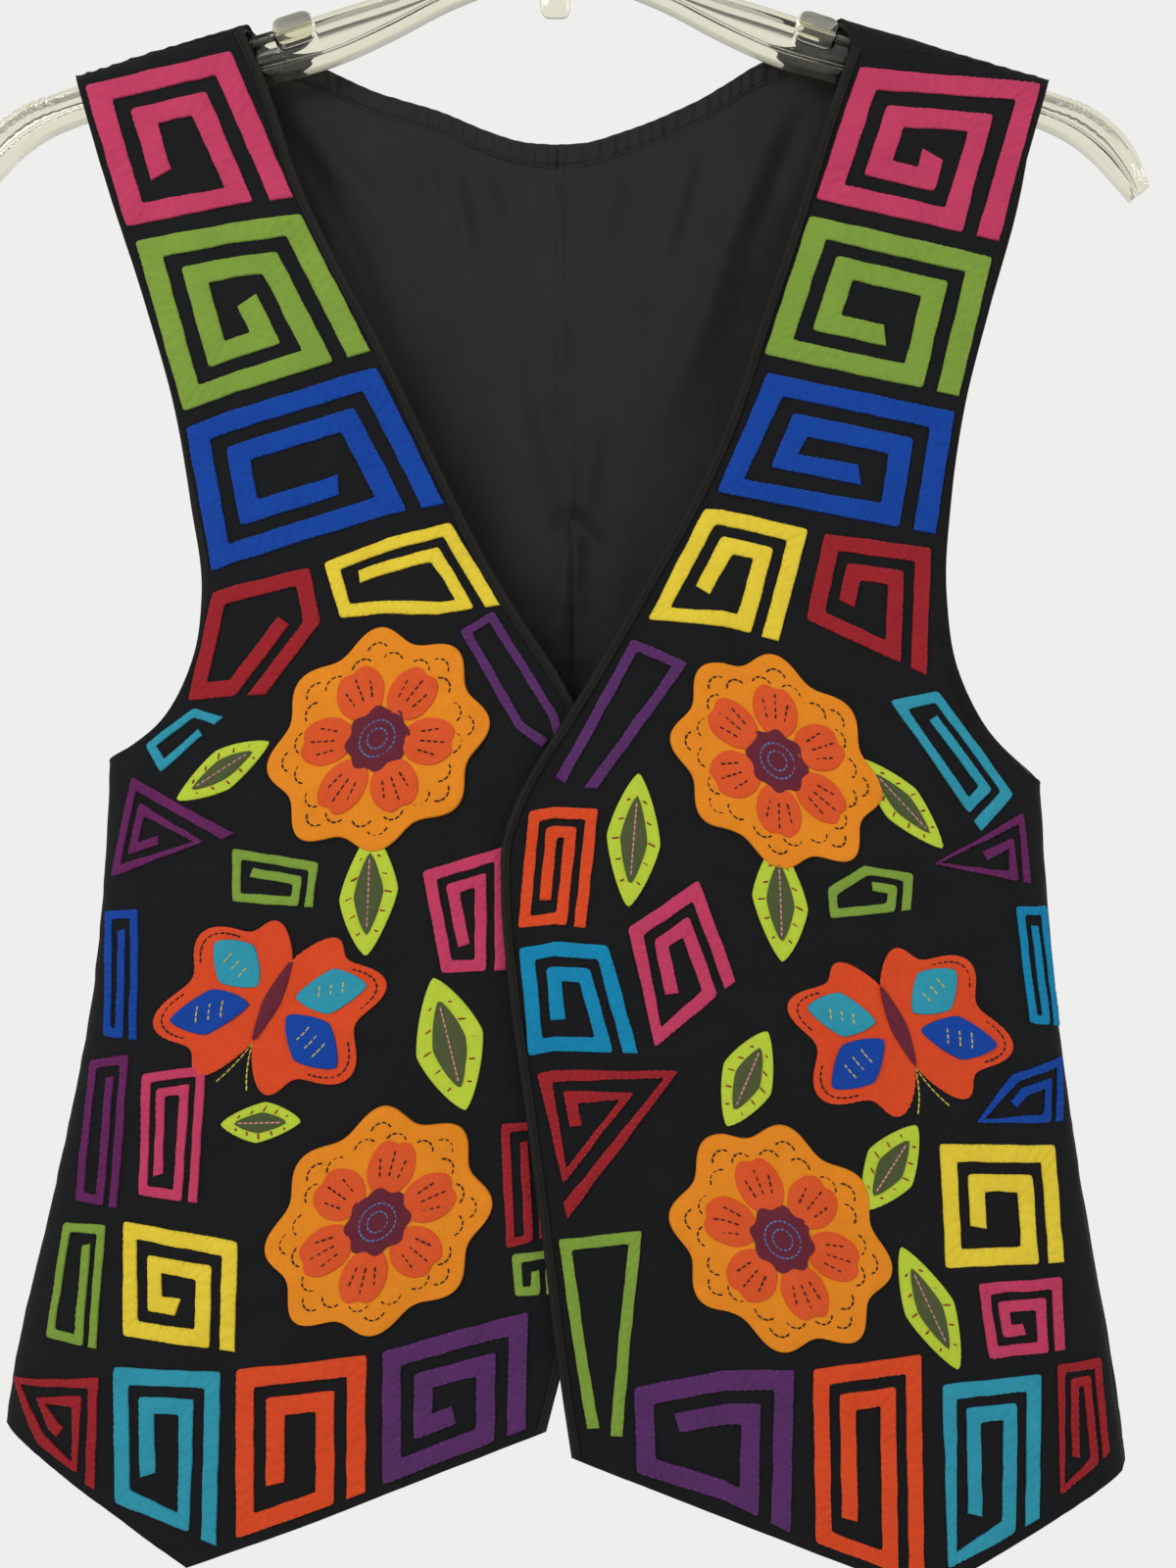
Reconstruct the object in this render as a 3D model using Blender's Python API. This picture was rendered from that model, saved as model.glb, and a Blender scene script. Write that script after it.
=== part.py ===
"""A sleeveless vest of black cotton, its fronts covered with cut and turned applique, hung on a clear hanger.

The garment is an open shell: two fronts, two back halves with their lining, and the patches sewn on the fronts.
Every piece of cloth lies on one surface, which goes over the hanger's arms and opens into the body's rounded ring.
A place on it is (s, q): s round the ring from its middle, q down from the shoulder's ridge.
Tables are in millimetres. The origin is the underside of the hook's crown. The fronts face -Y, and up is +Z.
"""

import math

import bpy
import numpy as np

MM = 0.001

FRONT, BACK = -1, 1
LEFT, RIGHT = 1, -1

FRONT_WALL = 1.4
BACK_WALL = 1.0
LINING_WALL = 0.8
SEAM_GAP = 0.3
PATCH_LIFT = 0.55
PATCH_WALL = 0.55
BAND_WIDTH = 7.6
NARROWEST_BAND = 3.2
TURNS_ACROSS = 7.0
GAP_SHARE = 0.65
MITRE_SHARE = 0.75
SHORTEST_END = 2.0
LAST_RUN_SHARE = 0.9
ROLL_WIDTH = 3.2

SHOULDER_RADIUS = 8.5
SHOULDER_DROP = 110.0
ARMPIT_DROP = 370.0
ROUNDNESS = 2.6
OVERLAP_LIFT = 3.6
OVERLAP_START, OVERLAP_END = 10.0, 100.0

# The body's rings: drop below the hook, middle of the ring, half width, depth of the front and of the back
RINGS = [
    {"drop": 95, "middle": 3.0, "half_width": 184, "front": 0.6, "back": 0.6},
    {"drop": 170, "middle": 4.0, "half_width": 176, "front": 4.0, "back": 4.0},
    {"drop": 250, "middle": 5.5, "half_width": 172, "front": 11.0, "back": 9.0},
    {"drop": 320, "middle": 6.5, "half_width": 170, "front": 17.0, "back": 14.0},
    {"drop": 380, "middle": 7.0, "half_width": 171, "front": 22.0, "back": 18.0},
    {"drop": 450, "middle": 7.0, "half_width": 176, "front": 25.0, "back": 20.0},
    {"drop": 520, "middle": 5.0, "half_width": 187, "front": 27.0, "back": 22.0},
    {"drop": 590, "middle": 3.0, "half_width": 201, "front": 28.0, "back": 23.0},
    {"drop": 625, "middle": 3.0, "half_width": 206, "front": 28.0, "back": 23.0},
    {"drop": 690, "middle": 3.0, "half_width": 209, "front": 28.0, "back": 23.0},
]

# The shoulder's ridge over the hanger's arms, as (x, drop)
RIDGE = [(-215, 133.2), (-175, 120.6), (-115, 102.0), (-60, 88.0), (0, 80.0)]
RIDGE += [(60, 86.5), (103, 99.2), (181, 122.3), (215, 132.4)]

# The shoulder seam in front of the ridge, as (x, q) at its neck end and its armhole end
SEAMS = {LEFT: [(107.5, 16.5), (180.5, 3.2)], RIGHT: [(-113.5, 8.5), (-175.5, 2.8)]}

# Each front's outline, as (x, drop) down each edge
FRONTS = {
    LEFT: {
        "neck": [(98.8, 137), (87.5, 173), (75, 210), (58.8, 257.5), (28, 315.6), (3, 358), (-14, 387.6)],
        "edge": [(-18.6, 402), (-18.9, 415), (-15.7, 455), (-10.8, 490), (-3.6, 545), (6.1, 616.5)],
        "armhole": [
            (167, 168), (157, 204), (148, 240), (141, 275),
            (137.6, 310), (142.4, 345), (155, 366), (177.5, 380),
        ],
        "hem": [(6.1, 616.5), (133, 667.5), (208, 628)],
    },
    RIGHT: {
        "neck": [
            (-105, 125), (-91, 165), (-77.5, 193), (-64, 218),
            (-45, 258), (-22.5, 303), (6.5, 350), (19, 373),
        ],
        "edge": [(25.5, 391), (26.5, 404), (23, 430), (17, 475), (11, 525), (2, 590), (-2.8, 608.5)],
        "armhole": [
            (-161, 168), (-149, 204), (-138, 240), (-130.5, 275),
            (-125.3, 310), (-129, 332), (-142, 358), (-163.5, 372),
        ],
        "hem": [(-2.8, 608.5), (-130.5, 658), (-202, 611)],
    },
}

# Each back half, as (x, drop), with the neck's turn over the ridge as (x, q)
BACKS = {
    LEFT: {
        "neck": [(0.15, 142.4), (12, 141.5), (24, 138), (43, 130.7), (58.5, 123), (74, 113.5), (90, 106.5)],
        "turn": [(98, 8.5), (103.5, 0), (106, -8)],
        "armhole": [
            (171, 168), (161, 204), (152, 240), (147, 275),
            (145.5, 310), (150, 338), (161, 360), (177.5, 380),
        ],
        "hem": [(0.15, 604), (100, 611), (208, 628)],
    },
    RIGHT: {
        "neck": [
            (-0.15, 142.4), (-12, 141.5), (-25, 137.6), (-43, 130.3),
            (-61.5, 124.8), (-90, 112.7), (-103, 107.5),
        ],
        "turn": [(-110, 7), (-113.2, 0)],
        "armhole": [
            (-163, 168), (-152, 204), (-142, 240), (-136, 275),
            (-132, 310), (-135, 332), (-146, 355), (-163.5, 372),
        ],
        "hem": [(-0.15, 604), (-100, 606), (-202, 611)],
    },
}

# The largest folds: soft waves along a line from one (x, drop) to another
FOLDS = [
    {"face": BACK, "start": (-80, 138), "end": (-28, 235), "width": 17, "height": -2.2},
    {"face": BACK, "start": (-60, 150), "end": (-34, 300), "width": 17, "height": 1.8},
    {"face": BACK, "start": (70, 140), "end": (36, 250), "width": 18, "height": -1.8},
    {"face": BACK, "start": (-90, 410), "end": (-110, 640), "width": 26, "height": 3.4},
    {"face": BACK, "start": (85, 430), "end": (112, 660), "width": 27, "height": 3.2},
    {"face": BACK, "start": (-8, 320), "end": (-14, 640), "width": 24, "height": -2.8},
    {"face": FRONT, "start": (-70, 430), "end": (-92, 690), "width": 32, "height": 2.0},
    {"face": FRONT, "start": (80, 440), "end": (96, 700), "width": 32, "height": 2.2},
]


def smooth(at, xs, ys):
    """The value at a place on the smooth curve through a table's points: cubics that share their slopes."""
    xs, ys = np.asarray(xs, float), np.asarray(ys, float)
    slope = np.gradient(ys, xs)
    at = np.clip(np.asarray(at, float), xs[0], xs[-1])
    i = np.clip(np.searchsorted(xs, at) - 1, 0, len(xs) - 2)
    span = xs[i + 1] - xs[i]
    t = (at - xs[i]) / span
    start = (1 + 2 * t) * (1 - t) ** 2 * ys[i] + t * (1 - t) ** 2 * span * slope[i]
    return start + t * t * (3 - 2 * t) * ys[i + 1] + t * t * (t - 1) * span * slope[i + 1]


def ease(t):
    """0 to 1 with no corner at either end."""
    t = np.clip(t, 0, 1)
    return t * t * (3 - 2 * t)


RING_DROPS = np.arange(90.0, 700.0, 6.0)
RING_SHARES = np.linspace(0, 1, 97)


def ring_of(column):
    return smooth(RING_DROPS, [r["drop"] for r in RINGS], [r[column] for r in RINGS])


def quarter_rings(depths):
    """For each drop, the quarter ring from middle to side, at even steps of its length: (girth, x, out)."""
    turn = np.linspace(0, math.pi / 2, 500)
    girths, xs, outs = [], [], []
    for half_width, depth in zip(ring_of("half_width"), depths):
        x = half_width * np.sin(turn) ** (2 / ROUNDNESS)
        out = depth * np.cos(turn) ** (2 / ROUNDNESS)
        run = np.concatenate([[0], np.cumsum(np.hypot(np.diff(x), np.diff(out)))])
        girths.append(run[-1])
        xs.append(np.interp(RING_SHARES * run[-1], run, x))
        outs.append(np.interp(RING_SHARES * run[-1], run, out))
    return np.array(girths), np.array(xs), np.array(outs)


QUARTER = {FRONT: quarter_rings(ring_of("front")), BACK: quarter_rings(ring_of("back"))}
MIDDLE = ring_of("middle")


def middle_at(drop):
    return np.interp(drop, RING_DROPS, MIDDLE)


def girth_at(face, drop):
    return np.interp(drop, RING_DROPS, QUARTER[face][0])


def around(face, s, drop):
    """(x, out) of the ring at a drop, s millimetres of cloth from its middle."""
    _, xs, outs = QUARTER[face]
    share = np.clip(np.abs(s) / girth_at(face, drop), 0, 1) * (len(RING_SHARES) - 1)
    row = np.clip((drop - RING_DROPS[0]) / (RING_DROPS[1] - RING_DROPS[0]), 0, len(RING_DROPS) - 1.001)
    i, j = row.astype(int), np.minimum(share.astype(int), len(RING_SHARES) - 2)
    a, b = row - i, share - j

    def mixed(grid):
        low = grid[i, j] * (1 - b) + grid[i, j + 1] * b
        return low * (1 - a) + (grid[i + 1, j] * (1 - b) + grid[i + 1, j + 1] * b) * a

    return middle_at(drop) + np.sign(s) * mixed(xs), mixed(outs)


def from_middle(face, x, drop):
    """The cloth's length round the ring from its middle to a point at x."""
    _, xs, _ = QUARTER[face]
    row = float(np.clip((drop - RING_DROPS[0]) / (RING_DROPS[1] - RING_DROPS[0]), 0, len(RING_DROPS) - 1.001))
    i = int(row)
    line = xs[i] * (1 - row + i) + xs[i + 1] * (row - i)
    away = x - float(middle_at(drop))
    return math.copysign(np.interp(abs(away), line, RING_SHARES) * float(girth_at(face, drop)), away)


def ridge_at(x):
    return np.interp(x, [p[0] for p in RIDGE], [p[1] for p in RIDGE])


def over_shoulder(q):
    """(fall, out) of the cloth q millimetres from the ridge: a quarter circle, then straight down."""
    turn = np.clip(np.abs(q) / SHOULDER_RADIUS, 0, math.pi / 2)
    straight = np.maximum(np.abs(q) - SHOULDER_RADIUS * math.pi / 2, 0)
    return SHOULDER_RADIUS * (1 - np.cos(turn)) + straight, np.sin(turn) * np.sign(q)


def from_ridge(fall):
    """The cloth's length from the ridge to a point that far below it."""
    fall = np.maximum(np.asarray(fall, float), 0)
    turn = np.arccos(np.clip(1 - fall / SHOULDER_RADIUS, 0, 1))
    return SHOULDER_RADIUS * turn + np.maximum(fall - SHOULDER_RADIUS, 0)


def fold_lift(face, x, drop):
    """How far the folds raise or sink the cloth: each is a soft wave across its line, fading at its ends."""
    lift = np.zeros(np.broadcast(x, drop).shape)
    for fold in FOLDS:
        if fold["face"] != face:
            continue
        (x0, d0), (x1, d1) = fold["start"], fold["end"]
        length = math.hypot(x1 - x0, d1 - d0)
        ux, ud = (x1 - x0) / length, (d1 - d0) / length
        run = ((x - x0) * ux + (drop - d0) * ud) / length
        off = ((drop - d0) * ux - (x - x0) * ud) / fold["width"]
        fade = ease(run / 0.3) * ease((1.05 - run) / 0.2)
        lift = lift + fold["height"] * np.exp(-off * off) * fade
    return lift


def shell(face, s, q):
    """Points of the garment's surface, s round the ring and q down from the ridge."""
    fall, out = over_shoulder(q)
    x = s + middle_at(200.0)
    for _ in range(4):
        x, ring_out = around(face, s, ridge_at(x) + fall)
    drop = ridge_at(x) + fall
    body = ease((drop - SHOULDER_DROP) / (ARMPIT_DROP - SHOULDER_DROP))
    y = face * out * ((1 - body) * SHOULDER_RADIUS + ring_out)
    return np.stack([x, y, -drop], axis=-1)


def on_cloth(face, places, lift, laps=False):
    """Points lifted off the surface along its outward normal, folds included. The front that laps rises at its edge."""
    s, q = places[..., 0], places[..., 1]
    step = 0.6
    along = shell(face, s + step, q) - shell(face, s - step, q)
    down = shell(face, s, q + step) - shell(face, s, q - step)
    normal = face * np.cross(along, down)
    normal /= np.linalg.norm(normal, axis=-1, keepdims=True)
    at = shell(face, s, q)
    raised = lift + fold_lift(face, at[..., 0], -at[..., 2])
    if laps:
        raised = raised + OVERLAP_LIFT * ease((OVERLAP_END - s) / (OVERLAP_END - OVERLAP_START))
    return at + normal * np.asarray(raised)[..., None]


def through(points, shares):
    """A smooth curve through points, at these shares of its length."""
    points = np.array(points, float)
    chord = np.concatenate([[0], np.cumsum(np.linalg.norm(np.diff(points, axis=0), axis=1))])
    fine = np.linspace(0, chord[-1], 40 * len(points))
    if len(points) > 2:
        line = np.stack([smooth(fine, chord, points[:, k]) for k in range(2)], axis=1)
    else:
        line = np.stack([np.interp(fine, chord, points[:, k]) for k in range(2)], axis=1)
    run = np.concatenate([[0], np.cumsum(np.linalg.norm(np.diff(line, axis=0), axis=1))])
    at = np.asarray(shares) * run[-1]
    return np.stack([np.interp(at, run, line[:, k]) for k in range(2)], axis=1)


def to_cloth(face, line):
    """(x, drop) points as (s, q) on the cloth."""
    line = np.array(line, float)
    s = np.array([from_middle(face, x, drop) for x, drop in line])
    return np.stack([s, from_ridge(line[:, 1] - ridge_at(line[:, 0]))], axis=1)


def near_ridge(face, points):
    """(x, q) points close to the ridge as (s, q)."""
    falls = [float(over_shoulder(q)[0]) for _, q in points]
    return np.array([(from_middle(face, x, float(ridge_at(x)) + fall), q) for (x, q), fall in zip(points, falls)])


def side_seam(face, side, drops):
    s = side * (girth_at(face, drops) - SEAM_GAP / 2)
    x, _ = around(face, s, drops)
    return np.stack([s, from_ridge(drops - ridge_at(x))], axis=1)


def rows_down(fine, reach, coarse):
    """Shares down a panel: close rows where the cloth turns over the shoulder, then wider ones."""
    top = np.linspace(0, reach, fine, endpoint=False)
    rest = np.linspace(0, 1, coarse + 1)
    return np.concatenate([top, reach + (1 - reach) * (0.45 * rest + 0.55 * rest**1.6)])


def outer_edge(face, side, shape, start, shares):
    """The armhole, then the side seam, with a row on the armpit."""
    armpit, hem = shape["armhole"][-1][1], shape["hem"][-1][1]
    seam = side_seam(face, side, np.linspace(armpit, hem, 30))
    armhole = np.concatenate([[start], to_cloth(face, shape["armhole"][:-1]), seam[:1]])
    line = np.concatenate([through(armhole, np.linspace(0, 1, 60)), seam[1:]])
    run = np.concatenate([[0], np.cumsum(np.linalg.norm(np.diff(line, axis=0), axis=1))])
    edge = np.stack([np.interp(shares * run[-1], run, line[:, k]) for k in range(2)], axis=1)
    edge[np.argmin(np.abs(shares * run[-1] - run[59]))] = seam[0]
    return edge


def hem_edge(face, side, shape, shares):
    """The hem as straight runs between its points, with a column on the middle point."""
    points = np.array(shape["hem"], float)
    run = np.concatenate([[0], np.cumsum(np.linalg.norm(np.diff(points, axis=0), axis=1))])
    line = np.stack([np.interp(shares * run[-1], run, points[:, k]) for k in range(2)], axis=1)
    line[np.argmin(np.abs(shares * run[-1] - run[1]))] = points[1]
    cloth = to_cloth(face, line)
    cloth[-1] = side_seam(face, side, points[-1:, 1])[0]
    return cloth


def blended(top, bottom, inner, outer, across, down):
    """A grid of (s, q) inside four edges, each point blended from the edges across from it (a Coons patch)."""
    u, v = across[None, :, None], down[:, None, None]
    sides = (1 - u) * inner[:, None] + u * outer[:, None]
    ends = (1 - v) * top[None] + v * bottom[None]
    corners = (1 - v) * ((1 - u) * top[0] + u * top[-1]) + v * ((1 - u) * bottom[0] + u * bottom[-1])
    return sides + ends - corners


def seam_line(side, face, offset, shares):
    """The shoulder seam seen from one of its two pieces, half a gap away from it."""
    (x0, q0), (x1, q1) = SEAMS[side]
    x = x0 + (x1 - x0) * shares
    q = (q0 + (q1 - q0) * shares + offset) * (-face)
    return near_ridge(face, list(zip(x, q)))


def front_edge(side, shares):
    shape = FRONTS[side]
    start = seam_line(side, FRONT, SEAM_GAP / 2, np.array([0.0]))
    return through(np.concatenate([start, to_cloth(FRONT, shape["neck"] + shape["edge"])]), shares)


def front_grid(side, across, down):
    shape = FRONTS[side]
    top = seam_line(side, FRONT, SEAM_GAP / 2, across)
    inner = front_edge(side, down)
    outer = outer_edge(FRONT, side, shape, top[-1], down)
    return blended(top, hem_edge(FRONT, side, shape, across), inner, outer, across, down)


def back_grid(side, across, down):
    """The back half from the centre seam to the side. Its top runs up the neck, over the ridge, and along the seam."""
    shape = BACKS[side]
    split = int(np.argmin(np.abs(across - 0.66)))
    seam = seam_line(side, BACK, -SEAM_GAP / 2, (across[split:] - across[split]) / (1 - across[split]))
    neck = np.concatenate([to_cloth(BACK, shape["neck"]), near_ridge(BACK, shape["turn"]), seam[:1]])
    top = np.concatenate([through(neck, across[: split + 1] / across[split])[:-1], seam])
    outer = outer_edge(BACK, side, shape, top[-1], down)
    drops = shape["neck"][0][1] + (shape["hem"][0][1] - shape["neck"][0][1]) * down
    inner = to_cloth(BACK, [(side * SEAM_GAP / 2, drop) for drop in drops])
    bottom = hem_edge(BACK, side, shape, across)
    return blended(top, bottom, inner, outer, across, down)


COLORS = {
    "black_cotton": (0.012, 0.012, 0.015),
    "rolled_edge": (0.020, 0.018, 0.014),
    "back_cloth": (0.014, 0.014, 0.016),
    "lining_cloth": (0.034, 0.030, 0.026),
    "pink": (0.62, 0.045, 0.15),
    "green": (0.24, 0.40, 0.05),
    "blue": (0.005, 0.075, 0.38),
    "yellow": (0.90, 0.68, 0.08),
    "red": (0.40, 0.012, 0.020),
    "purple": (0.10, 0.022, 0.14),
    "plum": (0.17, 0.014, 0.13),
    "teal": (0.04, 0.36, 0.50),
    "cyan": (0.005, 0.24, 0.46),
    "orange": (0.84, 0.11, 0.015),
    "amber": (0.93, 0.30, 0.015),
    "lime": (0.62, 0.76, 0.08),
}


def material(name, color, roughness, metallic=0.0, alpha=1.0):
    made = bpy.data.materials.get(name)
    if made is None:
        made = bpy.data.materials.new(name)
        made.use_nodes = True
        shader = made.node_tree.nodes["Principled BSDF"]
        shader.inputs["Base Color"].default_value = (*color, 1.0)
        shader.inputs["Roughness"].default_value = roughness
        shader.inputs["Metallic"].default_value = metallic
        shader.inputs["Alpha"].default_value = alpha
    return made


def cotton(name, roughness=0.85):
    return material(name, COLORS[name], roughness)


def object_from(name, points, faces, finish):
    """An object from points in millimetres, its faces turned outwards by the sign of its volume."""
    points = np.asarray(points, float).reshape(-1, 3)
    volume = 0.0
    for face in faces:
        for k in range(1, len(face) - 1):
            volume += np.dot(points[face[0]], np.cross(points[face[k]], points[face[k + 1]]))
    if volume < 0:
        faces = [tuple(face)[::-1] for face in faces]
    mesh = bpy.data.meshes.new(name)
    mesh.from_pydata((points * MM).tolist(), [], faces)
    mesh.materials.append(finish)
    mesh.update()
    made = bpy.data.objects.new(name, mesh)
    PIECES.objects.link(made)
    return made


def thick_grid(name, outside, inside, finish):
    """A sheet with a wall: two grids of points, joined round their rim."""
    rows, columns = outside.shape[:2]
    size = rows * columns
    faces = []
    for i in range(rows - 1):
        for j in range(columns - 1):
            a, b = i * columns + j, i * columns + j + 1
            faces.append((a, b, b + columns, a + columns))
            faces.append((a + size, a + columns + size, b + columns + size, b + size))
    first, last = [i * columns for i in range(rows)], [i * columns + columns - 1 for i in range(rows)]
    rim = first + [(rows - 1) * columns + j for j in range(1, columns)] + last[::-1][1:]
    rim += [j for j in range(1, columns - 1)][::-1]
    for a, b in zip(rim, rim[1:] + rim[:1]):
        faces.append((a, a + size, b + size, b)[::-1])
    return object_from(name, np.concatenate([outside.reshape(-1, 3), inside.reshape(-1, 3)]), faces, finish)


def make_backs():
    across = np.array([0, 0.12, 0.24, 0.36, 0.47, 0.54, 0.585, 0.62, 0.66, 0.77, 0.89, 1])
    down = rows_down(8, 0.058, 14)
    for side, word in ((LEFT, "left"), (RIGHT, "right")):
        grid = back_grid(side, across, down)
        walls = [on_cloth(BACK, grid, -lift) for lift in (0, BACK_WALL)]
        thick_grid(f"back_{word}", *walls, cotton("back_cloth"))
        under = BACK_WALL + SEAM_GAP
        walls = [on_cloth(BACK, grid, -lift) for lift in (under, under + LINING_WALL)]
        thick_grid(f"lining_{word}", *walls, cotton("lining_cloth", 0.5))


def make_fronts():
    across = np.linspace(0, 1, 15)
    across = 0.45 * across + 0.55 * (1 - (1 - across) ** 2)
    down = rows_down(5, 0.036, 22)
    for side, word in ((LEFT, "left"), (RIGHT, "right")):
        laps = side == LEFT
        grid = front_grid(side, across, down)
        walls = [on_cloth(FRONT, grid, -lift, laps) for lift in (0, FRONT_WALL)]
        thick_grid(f"front_{word}", *walls, cotton("black_cotton"))
        edge = front_edge(side, down)
        way = np.gradient(edge, axis=0)
        way /= np.linalg.norm(way, axis=1, keepdims=True)
        inwards = np.stack([way[:, 1], -way[:, 0]], axis=1) * side
        path = edge + inwards * (ROLL_WIDTH / 2 + 0.2)
        band(f"edge_{word}", path, ROLL_WIDTH, laps, cotton("rolled_edge"), wall=1.0)


def band(name, path, width, laps, finish, wall=PATCH_WALL):
    """A strip of cloth along a path of (s, q) points, its corners mitred, lying on the front."""
    way = np.diff(path, axis=0)
    way /= np.linalg.norm(way, axis=1, keepdims=True)
    across = np.stack([-way[:, 1], way[:, 0]], axis=1)
    before = np.concatenate([across[:1], across])
    after = np.concatenate([across, across[-1:]])
    mitre = before + after
    mitre /= np.maximum(np.sum(mitre * before, axis=1, keepdims=True), 0.62)
    left, right = path + mitre * width / 2, path - mitre * width / 2
    strip = np.stack([left, right], axis=1)
    outside = on_cloth(FRONT, strip, PATCH_LIFT + wall, laps)
    inside = on_cloth(FRONT, strip, PATCH_LIFT, laps)
    return thick_grid(name, outside, inside, finish)


def clear_of(path, end, reach):
    """True if a run from the path's last point to an end stays that far from all but the last run before it."""
    run = path[-1] + (end - path[-1]) * np.linspace(0.3, 1, 8)[:, None]
    for a, b in zip(path[:-2], path[1:-1]):
        share = np.clip((run - a) @ (b - a) / ((b - a) @ (b - a)), 0, 1)
        if np.linalg.norm(run - a - share[:, None] * (b - a), axis=1).min() < reach:
            return False
    return True


def spiral(corners, width, gap):
    """The middle line of a band that starts at a block's lower right corner and follows its sides inwards."""
    corners = np.array(corners, float)
    area = np.sum(corners[:, 0] * np.roll(corners[:, 1], -1) - np.roll(corners[:, 0], -1) * corners[:, 1])
    if area > 0:
        corners = corners[::-1]
    count = len(corners)
    corners = np.roll(corners, -int(np.argmax(corners.sum(axis=1))), axis=0)
    way = np.roll(corners, -1, axis=0) - corners
    way /= np.linalg.norm(way, axis=1, keepdims=True)
    inward = np.stack([way[:, 1], -way[:, 0]], axis=1)
    turns = np.arccos(np.clip(np.sum(way * np.roll(way, 1, axis=0), axis=1), -1, 1))
    mitre_reach = width / 2 * np.tan(turns / 2)

    def meeting(k):
        """Where side k - 1 and side k meet, each moved in by its turn's distance, but the outline at the start."""
        a, b = (k - 1) % count, k % count
        far = [width / 2 + side // count * (width + gap) for side in (k - 1, k)]
        if k == 0:
            far[0] = 0.0
        lines = np.array([inward[a], inward[b]])
        offsets = [corners[a] @ inward[a] + far[0], corners[b] @ inward[b] + far[1]]
        return np.linalg.solve(lines, offsets)

    slant = max(0.0, -width / 2 / math.tan(turns[0])) if turns[0] > math.pi / 2 else 0.0
    path = [meeting(0) + way[0] * slant, meeting(1)]
    for k in range(2, 8 * count):
        length = (meeting(k) - path[-1]) @ way[(k - 1) % count]
        behind, ahead = mitre_reach[(k - 1) % count], mitre_reach[k % count]
        if length < behind + LAST_RUN_SHARE * width or not clear_of(path, meeting(k), width + gap / 2):
            break
        path.append(meeting(k))
        if length < behind + ahead + SHORTEST_END:
            break
    return np.array(path)


def band_width(places):
    """As wide as the block allows: its room is the smaller of its narrow side and four times area over girth."""
    after = np.roll(places, -1, axis=0)
    area = abs(np.sum(places[:, 0] * after[:, 1] - after[:, 0] * places[:, 1])) / 2
    room = min(float(np.ptp(places, axis=0).min()), 4 * area / np.linalg.norm(after - places, axis=1).sum())
    return float(np.clip(room / TURNS_ACROSS, NARROWEST_BAND, BAND_WIDTH))


def with_steps(path, least, most):
    """The path with more points, none further apart than most unless they would be closer than least."""
    points = [path[0]]
    for a, b in zip(path[:-1], path[1:]):
        length = float(np.linalg.norm(b - a))
        count = max(1, min(math.ceil(length / most), int(length / least)))
        points += [a + (b - a) * (k + 1) / count for k in range(count)]
    return np.array(points)


def disc(name, centre, radius_at, rings, spokes, laps, finish):
    """A flat shape of cloth round a centre, its rim at a radius for each angle."""
    middle = to_cloth(FRONT, [centre])[0]
    angles = np.linspace(0, 2 * math.pi, spokes, endpoint=False)
    rim = np.stack([np.cos(angles), np.sin(angles)], axis=1) * radius_at(angles)[:, None]
    places = middle + rim[None] * np.linspace(0, 1, rings + 1)[1:, None, None]
    layers = []
    for lift in (PATCH_LIFT + PATCH_WALL, PATCH_LIFT):
        layers.append(on_cloth(FRONT, places, lift, laps).reshape(-1, 3))
        layers.append(on_cloth(FRONT, middle[None], lift, laps))
    size = rings * spokes
    faces = []
    for j in range(spokes):
        k = (j + 1) % spokes
        faces.append((size, j, k))
        faces.append((2 * size + 1, k + size + 1, j + size + 1))
        for i in range(rings - 1):
            a, b = i * spokes + j, i * spokes + k
            faces.append((a, a + spokes, b + spokes, b))
            faces.append((a + size + 1, b + size + 1, b + spokes + size + 1, a + spokes + size + 1))
        a, b = (rings - 1) * spokes + j, (rings - 1) * spokes + k
        faces.append((a, a + size + 1, b + size + 1, b))
    return object_from(name, np.concatenate(layers), faces, finish)


def flower_rim(radius):
    return lambda angle: radius * (0.93 + 0.07 * np.cos(8 * angle))


def leaf_rim(length, width, heading):
    """A pointed oval."""

    def radius(angle):
        turn = angle - heading
        return (np.abs(np.cos(turn) / length) ** 1.3 + np.abs(np.sin(turn) / width) ** 1.3) ** (-1 / 1.3)

    return radius


def butterfly_rim(span, heading):
    """Four wings: the radius swells twice on each side and narrows at the head and the tail."""

    def radius(angle):
        turn = angle - heading
        swell = np.abs(np.sin(turn)) ** 0.7 * (1 - 0.34 * np.cos(4 * turn) ** 2)
        return span * (0.28 + 0.62 * swell * (1 - 0.16 * np.cos(turn)))

    return radius


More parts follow.
